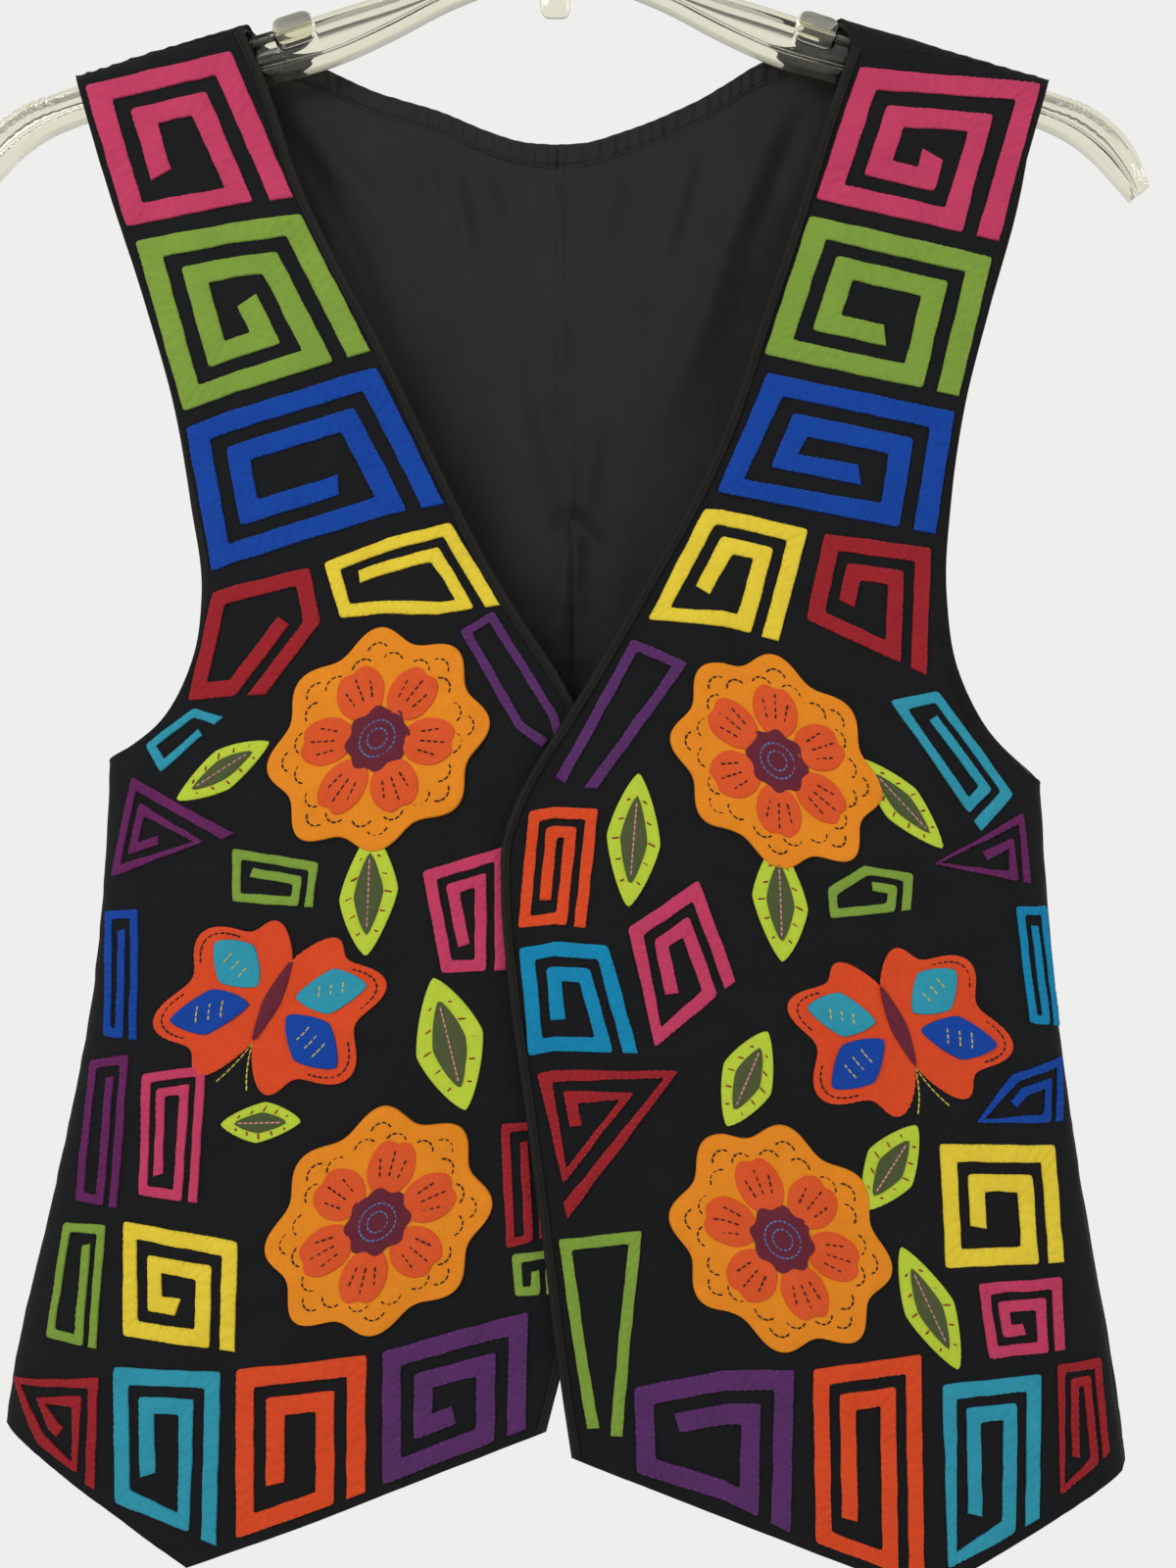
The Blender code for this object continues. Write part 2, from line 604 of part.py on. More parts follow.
# Blocks of banded cloth, with their corners as (x, drop)
BLOCKS = {
    RIGHT: {
        "strap_pink": ("pink", [(-170.5, 127), (-117.5, 114.5), (-94.5, 168), (-155.3, 178.4)]),
        "strap_green": ("green", [(-152, 183.5), (-92, 173.8), (-66.5, 224), (-134.3, 245.6)]),
        "strap_blue": ("blue", [(-133.3, 251.3), (-64.5, 229.6), (-39.6, 279.6), (-123.6, 303.4)]),
        "chest_red": ("red", [(-123.4, 311), (-88, 302), (-84, 322), (-104, 348), (-132, 350)]),
        "chest_yellow": ("yellow", [(-83, 300.5), (-37.5, 286), (-19.5, 316), (-42, 319.5), (-77, 320.5)]),
        "chest_purple": ("purple", [(-34, 325), (-22, 318), (1, 355), (7, 377), (-14, 360)]),
        "side_teal": ("teal", [(-148, 366), (-129.5, 352.5), (-119, 356), (-142, 376)]),
        "side_plum": ("plum", [(-161, 414), (-153, 377), (-114, 398)]),
        "middle_green": ("green", [(-115, 403), (-84, 408), (-86, 424), (-115, 422)]),
        "middle_pink": ("pink", [(-47, 411), (-17, 402), (-17, 446), (-40, 447)]),
        "side_blue": ("blue", [(-163, 426), (-150, 425), (-150, 472), (-163, 471)]),
        "side_plum_lower": ("plum", [(-168, 480), (-153, 477), (-157, 532), (-173, 530)]),
        "side_green": ("green", [(-177, 538), (-161, 538), (-164, 582), (-183, 579)]),
        "middle_yellow": ("yellow", [(-155, 536), (-112, 542), (-113, 581), (-154, 577)]),
        "hem_red": ("red", [(-197, 594), (-163, 592), (-164, 632), (-186, 617)]),
        "hem_teal": ("teal", [(-157.5, 588), (-118, 588), (-119.5, 649.5), (-156.5, 636)]),
        "hem_orange": ("orange", [(-112.5, 587), (-66, 581), (-66.5, 629.5), (-112.5, 646.5)]),
        "hem_purple": ("purple", [(-60.5, 580), (-9, 566), (-10, 607.5), (-60.5, 627)]),
    },
    LEFT: {
        "strap_pink": ("pink", [(110.2, 120.5), (176.8, 125.8), (160.6, 183.4), (94.2, 168.6)]),
        "strap_green": ("green", [(92, 174.5), (158.2, 189.3), (145.8, 240), (75.2, 225.5)]),
        "strap_blue": ("blue", [(76.5, 232), (144.3, 245.6), (137, 290), (57, 276.5)]),
        "chest_yellow": ("yellow", [(53.5, 281.5), (91, 288.5), (80, 329), (32.5, 322)]),
        "chest_red": ("red", [(97, 290), (135.5, 295), (133.5, 341), (90, 321)]),
        "chest_purple": ("purple", [(27.5, 328.5), (47.5, 337), (37, 352), (15, 382), (-1, 381)]),
        "side_teal": ("teal", [(120, 350), (137.5, 346.5), (165.5, 384), (153, 397)]),
        "side_plum": ("plum", [(131, 409), (169.5, 389.5), (172, 416)]),
        "middle_green": ("green", [(97, 417), (110, 409), (128, 412), (127, 425), (98, 428)]),
        "centre_orange": ("orange", [(-9, 390), (15.5, 389), (11, 431), (-12.8, 431)]),
        "middle_pink": ("pink", [(26, 431), (51, 414), (64, 450), (35, 474)]),
        "centre_cyan": ("cyan", [(-12.4, 438), (19, 437), (29.5, 475), (-9, 476)]),
        "centre_red": ("red", [(-6, 482), (46, 480), (4.5, 533)]),
        "centre_green": ("green", [(1.5, 540), (31, 537), (24, 609), (12, 608)]),
        "middle_yellow": ("yellow", [(137, 508), (180, 510), (183, 552), (139, 552)]),
        "hem_purple": ("purple", [(28, 592), (84.5, 586), (83, 643.5), (29, 621.8)]),
        "hem_orange": ("orange", [(91, 586), (130, 582), (131, 662.5), (92, 647)]),
        "hem_teal": ("teal", [(137.5, 593), (174, 591), (173, 642), (138.5, 660)]),
        "hem_red": ("red", [(180, 588), (197, 587), (200, 621), (180, 636)]),
    },
}

# Flowers, leaves and a butterfly on each front: centre as (x, drop), size, and heading in degrees
FIGURES = {
    RIGHT: [
        ("flower_upper", "amber", (-63, 364), flower_rim(40)),
        ("flower_lower", "amber", (-62, 534), flower_rim(40)),
        ("butterfly", "orange", (-100, 457), butterfly_rim(49, math.radians(-62))),
        ("leaf_upper", "lime", (-119, 375), leaf_rim(18, 8, math.radians(-18))),
        ("leaf_lower", "lime", (-37, 472), leaf_rim(25, 12, math.radians(75))),
    ],
    LEFT: [
        ("flower_upper", "amber", (79, 372), flower_rim(38)),
        ("flower_lower", "amber", (80, 540), flower_rim(40)),
        ("butterfly", "orange", (122, 466), butterfly_rim(48, math.radians(-118))),
        ("leaf_upper", "lime", (28, 400), leaf_rim(24, 9.5, math.radians(95))),
        ("leaf_lower", "lime", (133, 566), leaf_rim(22, 10, math.radians(60))),
        ("leaf_middle", "lime", (68, 484), leaf_rim(20, 9, math.radians(110))),
    ],
}


def make_patches():
    for side, word in ((LEFT, "left"), (RIGHT, "right")):
        laps = side == LEFT
        for name, (color, corners) in BLOCKS[side].items():
            places = to_cloth(FRONT, corners)
            width = band_width(places)
            curled = float(np.abs(places[:, 0]).max()) > 150 and corners[0][1] > 340
            path = with_steps(spiral(places, width, GAP_SHARE * width), MITRE_SHARE * width, 10 if curled else 21)
            band(f"{name}_{word}", path, width, laps, cotton(color))
        for name, color, centre, rim in FIGURES[side]:
            spokes = {"f": 24, "b": 24, "l": 14}[name[0]]
            disc(f"{name}_{word}", centre, rim, 3 if spokes > 14 else 2, spokes, laps, cotton(color))


# The hanger's arm as its top and bottom edges, in (x, drop)
ARM_TOP = [(0, 66), (20, 73), (40, 82.5), (60, 90), (80, 96.3), (103, 103.9), (115, 107.4), (125, 110.2)]
ARM_TOP += [(150, 117.3), (181, 126.4), (196, 131.9), (207, 140.5), (214, 151), (217.5, 161)]
ARM_BOTTOM = [(0, 82), (20, 88), (40, 96), (60, 106.5), (80, 115.5), (103, 122), (125, 127)]
ARM_BOTTOM += [(150, 132), (176, 138), (187, 143), (197, 150.5), (205, 159), (211, 166)]
ARM_HALF_THICK = 5.4
WEB_HALF_THICK = 1.3
BOSS_TOP = 58.0
HOOK_WIRE = 1.8
HOOK_TURN = 20.0


def arm_section(top, bottom):
    """The ring of an I beam's section between two edge points: round-topped rails and a thin web."""
    reach = float(np.linalg.norm(top - bottom))
    rail = min(4.6, 0.34 * reach)
    side = [(0, 2.4), (1.1, 4.3), (rail - 0.8, ARM_HALF_THICK), (rail + 0.9, WEB_HALF_THICK)]
    side += [(reach - h, t) for h, t in side[::-1]]
    ring = side + [(h, -t) for h, t in side[::-1]]
    along = (bottom - top) / reach
    return [(top[0] + along[0] * h, t, -(top[1] + along[1] * h)) for h, t in ring]


def make_hanger():
    """One moulded body: a section carried from tip to tip, with the boss, the tongue and the two tabs joined on."""
    shares = np.linspace(0, 1, 13)
    top, bottom = through(ARM_TOP, shares), through(ARM_BOTTOM, shares)
    tops = np.concatenate([top[::-1] * (-1, 1), top[1:]])
    bottoms = np.concatenate([bottom[::-1] * (-1, 1), bottom[1:]])
    rings = [arm_section(a, b) for a, b in zip(tops, bottoms)]
    size = len(rings[0])
    faces = [tuple(range(size)), tuple(range((len(rings) - 1) * size, len(rings) * size))[::-1]]
    for i in range(len(rings) - 1):
        for j in range(size):
            a, b = i * size + j, i * size + (j + 1) % size
            faces.append((a, a + size, b + size, b))
    clear = material("clear_plastic", (0.92, 0.93, 0.88), 0.05, alpha=0.35)
    hanger = object_from("hanger", [p for ring in rings for p in ring], faces, clear)
    joined = [
        block("boss", (0, 72), (14, 14, 28), clear),
        block("tongue", (0, 92), (14.8, 8.4, 16), clear),
        block("tab_left", (89, 101), (14, 10.2, 14), clear, tilt=0.28),
        block("tab_right", (-89, 101), (14, 10.2, 14), clear, tilt=-0.28),
    ]
    for extra in joined:
        union = hanger.modifiers.new(extra.name, "BOOLEAN")
        union.operation = "UNION"
        union.solver = "EXACT"
        union.object = extra


def block(name, place, size, finish, tilt=0.0):
    """A block with cut corners, for joining on."""
    x, drop = place
    half = np.array(size) / 2
    cut = float(half.min()) * 0.35
    corners = []
    for height in (-half[2], half[2]):
        for sx, sy in ((1, 1), (-1, 1), (-1, -1), (1, -1)):
            ends = [(half[0], half[1] - cut), (half[0] - cut, half[1])]
            ends = ends if sx * sy > 0 else ends[::-1]
            corners += [(sx * ex, sy * ey, height) for ex, ey in ends]
    cos, sin = math.cos(tilt), math.sin(tilt)
    points = [(x + px * cos + pz * sin, py, -drop - px * sin + pz * cos) for px, py, pz in corners]
    faces = [tuple(range(8)), tuple(range(8, 16))[::-1]]
    faces += [(i, i + 8, (i + 1) % 8 + 8, (i + 1) % 8) for i in range(8)]
    made = object_from(name, points, faces, finish)
    PIECES.objects.unlink(made)
    HELPERS.objects.link(made)
    made.hide_render = True
    made.display_type = "WIRE"
    return made


def make_hook():
    """A wire bent over a rod: a wide turn, then back to the middle and down its shank to the boss."""
    centre = HOOK_TURN - HOOK_WIRE
    angles = np.radians(np.linspace(-28, 232, 19))
    turn = np.stack([HOOK_TURN * np.cos(angles), centre - HOOK_TURN * np.sin(angles)], axis=1)
    foot = [(-5.0, 41.0), (-0.8, 45.5), (0.0, 50.0), (0.0, BOSS_TOP - SEAM_GAP)]
    line = np.concatenate([turn[:-1], through(np.concatenate([turn[-1:], foot]), np.linspace(0, 1, 7))])
    data = bpy.data.curves.new("hook", "CURVE")
    data.dimensions = "3D"
    spline = data.splines.new("POLY")
    spline.points.add(len(line) - 1)
    for point, (x, drop) in zip(spline.points, line):
        point.co = (x * MM, 0, -drop * MM, 1)
    data.bevel_depth = HOOK_WIRE * MM
    data.bevel_resolution = 2
    data.use_fill_caps = True
    data.materials.append(material("chrome_wire", (0.75, 0.75, 0.76), 0.15, metallic=1.0))
    PIECES.objects.link(bpy.data.objects.new("hook", data))


for old in list(bpy.data.objects):
    bpy.data.objects.remove(old)
PIECES = bpy.data.collections.new("applique_vest")
HELPERS = bpy.data.collections.new("joined_blocks")
bpy.context.scene.collection.children.link(PIECES)
bpy.context.scene.collection.children.link(HELPERS)

make_fronts()
make_backs()
make_patches()
make_hanger()
make_hook()
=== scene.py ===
"""A sleeveless vest of black cotton with cut and turned applique on its fronts, hung on a clear hanger.

Sizes are in millimetres, turned to metres as each mesh is made. The frame's origin is under the hook's crown.
A place on the cloth is (s, q): s round the body's ring from its middle, q down from the shoulder's ridge.
"""

import math

import bpy
import numpy as np
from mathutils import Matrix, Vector


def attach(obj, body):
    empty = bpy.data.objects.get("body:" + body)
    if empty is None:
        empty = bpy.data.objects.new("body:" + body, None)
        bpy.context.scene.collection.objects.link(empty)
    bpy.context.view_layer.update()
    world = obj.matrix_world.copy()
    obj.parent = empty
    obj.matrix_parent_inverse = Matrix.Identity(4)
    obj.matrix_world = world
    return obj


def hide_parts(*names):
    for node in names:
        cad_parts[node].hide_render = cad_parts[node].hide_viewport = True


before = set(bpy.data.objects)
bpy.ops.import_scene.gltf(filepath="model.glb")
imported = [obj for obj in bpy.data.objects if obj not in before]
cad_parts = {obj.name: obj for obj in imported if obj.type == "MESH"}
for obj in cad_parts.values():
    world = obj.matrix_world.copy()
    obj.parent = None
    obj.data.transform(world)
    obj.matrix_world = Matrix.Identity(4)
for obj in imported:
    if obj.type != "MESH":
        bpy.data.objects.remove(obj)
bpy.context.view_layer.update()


# The back: two halves of plain woven black cotton, joined by a seam down the middle and hemmed at the bottom.
# Sewn right side out, it hangs from the hanger's arms and rounds a little where it leaves them.
# All the vest's cloth lies on this one form, so it is set out here: rings of the body under a turned shoulder.

MM = 0.001
FRONT, BACK = -1, 1
LEFT, RIGHT = 1, -1
SIDES = ((LEFT, "left"), (RIGHT, "right"))
SEAM_GAP = 0.0
SHOULDER_RADIUS = 8.5
SHOULDER_DROP = 110.0
ARMPIT_DROP = 370.0
ROUNDNESS = 2.6
OVERLAP_LIFT = 3.6
OVERLAP_START, OVERLAP_END = 10.0, 100.0

RINGS = {
    "drop": [95, 170, 250, 320, 380, 450, 520, 590, 625, 690],
    "middle": [3.0, 4.0, 5.5, 6.5, 7.0, 7.0, 5.0, 3.0, 3.0, 3.0],
    "half_width": [184, 176, 172, 170, 171, 176, 187, 201, 206, 209],
    "front": [0.6, 4.0, 11.0, 17.0, 22.0, 25.0, 27.0, 28.0, 28.0, 28.0],
    "back": [0.6, 4.0, 9.0, 14.0, 18.0, 20.0, 22.0, 23.0, 23.0, 23.0],
}

# The shoulder's ridge over the hanger's arms, as (x, drop)
RIDGE = [(-215, 133.2), (-175, 120.6), (-115, 102.0), (-60, 88.0), (0, 80.0)]
RIDGE += [(60, 86.5), (103, 99.2), (181, 122.3), (215, 132.4)]

# The shoulder seam in front of the ridge, as (x, q) at its neck end and its armhole end
SEAMS = {LEFT: [(107.5, 16.5), (180.5, 3.2)], RIGHT: [(-113.5, 8.5), (-175.5, 2.8)]}

# Each back half, as (x, drop), with the neck's turn over the ridge as (x, q)
BACKS = {
    LEFT: {
        "neck": [(0.15, 142.4), (12, 141.5), (24, 138), (43, 130.7), (58.5, 123), (74, 113.5), (90, 106.5)],
        "turn": [(98, 8.5), (103.5, 0), (106, -8)],
        "armhole": [
            (171, 168), (161, 204), (152, 240), (147, 275),
            (145.5, 310), (150, 338), (161, 360), (177.5, 380),
        ],
        "hem": [(0.15, 604), (100, 611), (208, 628)],
    },
    RIGHT: {
        "neck": [
            (-0.15, 142.4), (-12, 141.5), (-25, 137.6), (-43, 130.3),
            (-61.5, 124.8), (-90, 112.7), (-103, 107.5),
        ],
        "turn": [(-110, 7), (-113.2, 0)],
        "armhole": [
            (-163, 168), (-152, 204), (-142, 240), (-136, 275),
            (-132, 310), (-135, 332), (-146, 355), (-163.5, 372),
        ],
        "hem": [(-0.15, 604), (-100, 606), (-202, 611)],
    },
}

# The largest folds, as the line they run along from one (x, drop) to another, then width and height
FOLDS = {
    BACK: [
        ((-80, 138), (-28, 235), 17, -2.2),
        ((-60, 150), (-34, 300), 17, 1.8),
        ((70, 140), (36, 250), 18, -1.8),
        ((-90, 410), (-110, 640), 26, 3.4),
        ((85, 430), (112, 660), 27, 3.2),
        ((-8, 320), (-14, 640), 24, -2.8),
    ],
    FRONT: [
        ((-70, 430), (-92, 690), 32, 2.0),
        ((80, 440), (96, 700), 32, 2.2),
    ],
}

# Smaller creases between them, uneven in length and depth
CREASES = {
    BACK: [
        ((-104, 122), (-52, 186), 5.5, -2.4),
        ((-98, 133), (-62, 214), 4.5, 1.9),
        ((-92, 150), (-58, 262), 6.0, -2.2),
        ((-49, 147), (-42, 178), 4.2, -1.9),
        ((-40, 147), (-31, 192), 4.6, -1.9),
        ((-24, 149), (-10, 178), 4.2, 1.6),
        ((24, 150), (14, 186), 4.8, -1.6),
        ((52, 140), (36, 196), 4.0, -1.9),
        ((96, 122), (58, 206), 5.0, 2.2),
        ((88, 130), (30, 262), 7.0, -2.4),
        ((-12, 210), (18, 330), 7.0, 2.2),
        ((16, 232), (-4, 352), 5.5, -1.9),
        ((-2, 276), (26, 300), 4.5, 2.4),
        ((-60, 300), (-20, 352), 7.0, 2.4),
        ((132, 372), (96, 470), 12, 4.3),
        ((-128, 366), (-90, 452), 12, 4.0),
        ((150, 470), (158, 622), 13, -4.3),
        ((44, 452), (58, 612), 15, -4.0),
        ((-58, 470), (-66, 610), 13, 3.2),
        ((-152, 460), (-164, 608), 12, -3.8),
    ],
    FRONT: [
        ((-120, 300), (-66, 430), 14, -0.9),
        ((140, 390), (60, 430), 11, 0.8),
        ((-148, 392), (-84, 436), 10, 0.8),
        ((20, 500), (44, 640), 15, -1.1),
        ((-30, 480), (-44, 626), 14, -1.0),
        ((150, 480), (168, 640), 13, -1.2),
        ((-148, 470), (-160, 632), 13, -1.1),
    ],
}

# The share of its length over which a fold or a crease fades at its end
FOLD_TAIL, CREASE_TAIL = 0.2, 0.6

RING_DROPS = np.arange(90.0, 700.0, 2.0)
RING_SHARES = np.linspace(0, 1, 385)


def smooth(at, xs, ys):
    """The value on the smooth curve through a table's points: cubic pieces that share their slopes."""
    xs, ys = np.asarray(xs, float), np.asarray(ys, float)
    slope = np.gradient(ys, xs)
    at = np.clip(np.asarray(at, float), xs[0], xs[-1])
    i = np.clip(np.searchsorted(xs, at) - 1, 0, len(xs) - 2)
    span = xs[i + 1] - xs[i]
    t = (at - xs[i]) / span
    start = (1 + 2 * t) * (1 - t) ** 2 * ys[i] + t * (1 - t) ** 2 * span * slope[i]
    return start + t * t * (3 - 2 * t) * ys[i + 1] + t * t * (t - 1) * span * slope[i + 1]


def ease(t):
    """0 to 1 with no corner at either end: three t squared less two t cubed."""
    t = np.clip(t, 0, 1)
    return t * t * (3 - 2 * t)


def ring_of(column):
    return smooth(RING_DROPS, RINGS["drop"], RINGS[column])


def quarter_rings(depths):
    """For each drop the quarter of a superellipse from the middle to the side, at even steps of its length.

    x is the half width times sin(turn) to the 2 / roundness, and out is the depth times cos(turn) to the same.
    """
    turn = np.linspace(0, math.pi / 2, 1500)
    girths, xs, outs = [], [], []
    for half_width, depth in zip(ring_of("half_width"), depths):
        x = half_width * np.sin(turn) ** (2 / ROUNDNESS)
        out = depth * np.cos(turn) ** (2 / ROUNDNESS)
        run = np.concatenate([[0], np.cumsum(np.hypot(np.diff(x), np.diff(out)))])
        girths.append(run[-1])
        xs.append(np.interp(RING_SHARES * run[-1], run, x))
        outs.append(np.interp(RING_SHARES * run[-1], run, out))
    return np.array(girths), np.array(xs), np.array(outs)


QUARTER = {FRONT: quarter_rings(ring_of("front")), BACK: quarter_rings(ring_of("back"))}
MIDDLE = ring_of("middle")


def middle_at(drop):
    return np.interp(drop, RING_DROPS, MIDDLE)


def girth_at(face, drop):
    return np.interp(drop, RING_DROPS, QUARTER[face][0])


def around(face, s, drop):
    """(x, out) of the ring at a drop, s millimetres of cloth from its middle, read between rings."""
    _, xs, outs = QUARTER[face]
    share = np.clip(np.abs(s) / girth_at(face, drop), 0, 1) * (len(RING_SHARES) - 1)
    row = np.clip((drop - RING_DROPS[0]) / (RING_DROPS[1] - RING_DROPS[0]), 0, len(RING_DROPS) - 1.001)
    i, j = row.astype(int), np.minimum(share.astype(int), len(RING_SHARES) - 2)
    a, b = row - i, share - j

    def mixed(grid):
        low = grid[i, j] * (1 - b) + grid[i, j + 1] * b
        return low * (1 - a) + (grid[i + 1, j] * (1 - b) + grid[i + 1, j + 1] * b) * a

    return middle_at(drop) + np.sign(s) * mixed(xs), mixed(outs)


def from_middle(face, x, drop):
    """The cloth's length round the ring from its middle to a point at x."""
    _, xs, _ = QUARTER[face]
    row = float(np.clip((drop - RING_DROPS[0]) / (RING_DROPS[1] - RING_DROPS[0]), 0, len(RING_DROPS) - 1.001))
    i = int(row)
    line = xs[i] * (1 - row + i) + xs[i + 1] * (row - i)
    away = x - float(middle_at(drop))
    return math.copysign(np.interp(abs(away), line, RING_SHARES) * float(girth_at(face, drop)), away)


def ridge_at(x):
    return np.interp(x, [p[0] for p in RIDGE], [p[1] for p in RIDGE])


def over_shoulder(q):
    """(fall, out) of the cloth q millimetres from the ridge: a quarter circle, then straight down."""
    turn = np.clip(np.abs(q) / SHOULDER_RADIUS, 0, math.pi / 2)
    straight = np.maximum(np.abs(q) - SHOULDER_RADIUS * math.pi / 2, 0)
    return SHOULDER_RADIUS * (1 - np.cos(turn)) + straight, np.sin(turn) * np.sign(q)


def from_ridge(fall):
    """The cloth's length from the ridge to a point that far below it."""
    fall = np.maximum(np.asarray(fall, float), 0)
    turn = np.arccos(np.clip(1 - fall / SHOULDER_RADIUS, 0, 1))
    return SHOULDER_RADIUS * turn + np.maximum(fall - SHOULDER_RADIUS, 0)


def fold_lift(face, x, drop):
    """How far folds and creases raise the cloth: each is a bell curve across its line, fading at its ends."""
    lift = np.zeros(np.broadcast(x, drop).shape)
    for (x0, d0), (x1, d1), width, height, tail in [(*fold, FOLD_TAIL) for fold in FOLDS[face]] + [
        (*crease, CREASE_TAIL) for crease in CREASES[face]
    ]:
        length = math.hypot(x1 - x0, d1 - d0)
        ux, ud = (x1 - x0) / length, (d1 - d0) / length
        run = ((x - x0) * ux + (drop - d0) * ud) / length
        off = ((drop - d0) * ux - (x - x0) * ud) / width
        fade = ease(run / 0.3) * ease((1.05 - run) / tail)
        lift = lift + height * np.exp(-off * off) * fade
    return lift


def uneven(a, b, length, seed):
    """From about -1 to 1: five sine waves at different angles, each longer than the last, averaged."""
    total = 0.0
    for k in range(5):
        angle = seed * 1.7 + k * 1.31
        wave = length * (1 + 0.37 * k)
        along = a * math.cos(angle) + b * math.sin(angle)
        total = total + np.sin(along * 2 * math.pi / wave + seed * 3.1 + k * 2.4)
    return total / 2.4


def shell(face, s, q):
    """Points of the vest's form: the ring's point at that drop, and at the shoulder the turn over the hanger."""
    fall, out = over_shoulder(q)
    x = s + middle_at(200.0)
    for _ in range(4):
        x, ring_out = around(face, s, ridge_at(x) + fall)
    drop = ridge_at(x) + fall
    body = ease((drop - SHOULDER_DROP) / (ARMPIT_DROP - SHOULDER_DROP))
    y = face * out * ((1 - body) * SHOULDER_RADIUS + ring_out)
    return np.stack([x, y, -drop], axis=-1)


NORMAL_STEP = 0.6
WAVE_HEIGHT, WAVE_LENGTH = 0.16, 17


def on_cloth(face, places, lift, laps=False):
    """Points lifted off the form along its outward normal, folds and slight waviness included."""
    s, q = places[..., 0], places[..., 1]
    along = shell(face, s + NORMAL_STEP, q) - shell(face, s - NORMAL_STEP, q)
    down = shell(face, s, q + NORMAL_STEP) - shell(face, s, q - NORMAL_STEP)
    normal = unit(face * np.cross(along, down))
    at = shell(face, s, q)
    waves = WAVE_HEIGHT * uneven(s, q, WAVE_LENGTH, 2 + face)
    raised = lift + fold_lift(face, at[..., 0], -at[..., 2]) + waves
    if laps:
        raised = raised + OVERLAP_LIFT * ease((OVERLAP_END - s) / (OVERLAP_END - OVERLAP_START))
    return at + normal * np.asarray(raised)[..., None]


def run_along(line):
    """The length run from a line's first point to each of its points."""
    return np.concatenate([[0], np.cumsum(np.linalg.norm(np.diff(line, axis=0), axis=1))])


def at_lengths(at, run, line):
    """The points of a line at these lengths along it, read between its points in straight steps."""
    return np.stack([np.interp(at, run, line[:, k]) for k in range(2)], axis=1)


def unit(ways):
    return ways / np.linalg.norm(ways, axis=-1, keepdims=True)


def polar(middle, angle, radius):
    """The points at these angles and distances from a middle."""
    return middle + np.stack([np.cos(angle), np.sin(angle)], axis=1) * radius


def through(points, shares):
    """A smooth curve through points, at these shares of its length."""
    points = np.array(points, float)
    chord = run_along(points)
    fine = np.linspace(0, chord[-1], 60 * len(points))
    if len(points) > 2:
        line = np.stack([smooth(fine, chord, points[:, k]) for k in range(2)], axis=1)
    else:
        line = np.stack([np.interp(fine, chord, points[:, k]) for k in range(2)], axis=1)
    run = run_along(line)
    at = np.asarray(shares) * run[-1]
    return at_lengths(at, run, line)


def to_cloth(face, line):
    """(x, drop) points as (s, q) on the cloth."""
    line = np.array(line, float)
    s = np.array([from_middle(face, x, drop) for x, drop in line])
    return np.stack([s, from_ridge(line[:, 1] - ridge_at(line[:, 0]))], axis=1)


def near_ridge(face, points):
    """(x, q) points close to the ridge as (s, q)."""
    falls = [float(over_shoulder(q)[0]) for _, q in points]
    drops = [float(ridge_at(x)) + fall for (x, _), fall in zip(points, falls)]
    return np.array([(from_middle(face, x, drop), q) for (x, q), drop in zip(points, drops)])


def side_seam(face, side, drops):
    s = side * (girth_at(face, drops) - SEAM_GAP / 2)
    x, _ = around(face, s, drops)
    return np.stack([s, from_ridge(drops - ridge_at(x))], axis=1)


def rows_down(fine, reach, coarse):
    """Shares down a panel: close rows where the cloth turns over the shoulder, then even ones."""
    top = np.linspace(0, reach, fine, endpoint=False)
    return np.concatenate([top, np.linspace(reach, 1, coarse + 1)])


def outer_edge(face, side, shape, start, shares):
    """The armhole, then the side seam, with a row on the armpit."""
    armpit, hem = shape["armhole"][-1][1], shape["hem"][-1][1]
    seam = side_seam(face, side, np.linspace(armpit, hem, 60))
    armhole = np.concatenate([[start], to_cloth(face, shape["armhole"][:-1]), seam[:1]])
    line = np.concatenate([through(armhole, np.linspace(0, 1, 120)), seam[1:]])
    run = run_along(line)
    edge = at_lengths(shares * run[-1], run, line)
    edge[np.argmin(np.abs(shares * run[-1] - run[119]))] = seam[0]
    return edge


def hem_edge(face, side, shape, shares):
    """The hem as straight runs between its points, with a column on the middle point."""
    points = np.array(shape["hem"], float)
    run = run_along(points)
    line = np.stack([np.interp(shares * run[-1], run, points[:, k]) for k in range(2)], axis=1)
    line[np.argmin(np.abs(shares * run[-1] - run[1]))] = points[1]
    cloth = to_cloth(face, line)
    cloth[-1] = side_seam(face, side, points[-1:, 1])[0]
    return cloth


def blended(top, bottom, inner, outer, across, down):
    """A grid of (s, q) inside four edges: sides and ends blended, less the corners that both hold."""
    u, v = across[None, :, None], down[:, None, None]
    sides = (1 - u) * inner[:, None] + u * outer[:, None]
    ends = (1 - v) * top[None] + v * bottom[None]
    corners = (1 - v) * ((1 - u) * top[0] + u * top[-1]) + v * ((1 - u) * bottom[0] + u * bottom[-1])
    return sides + ends - corners


def seam_line(side, face, offset, shares):
    """The shoulder seam seen from one of its two pieces, half a gap away from it."""
    (x0, q0), (x1, q1) = SEAMS[side]
    x = x0 + (x1 - x0) * shares
    q = (q0 + (q1 - q0) * shares + offset) * (-face)
    return near_ridge(face, list(zip(x, q)))


NECK_SHARE = 0.66


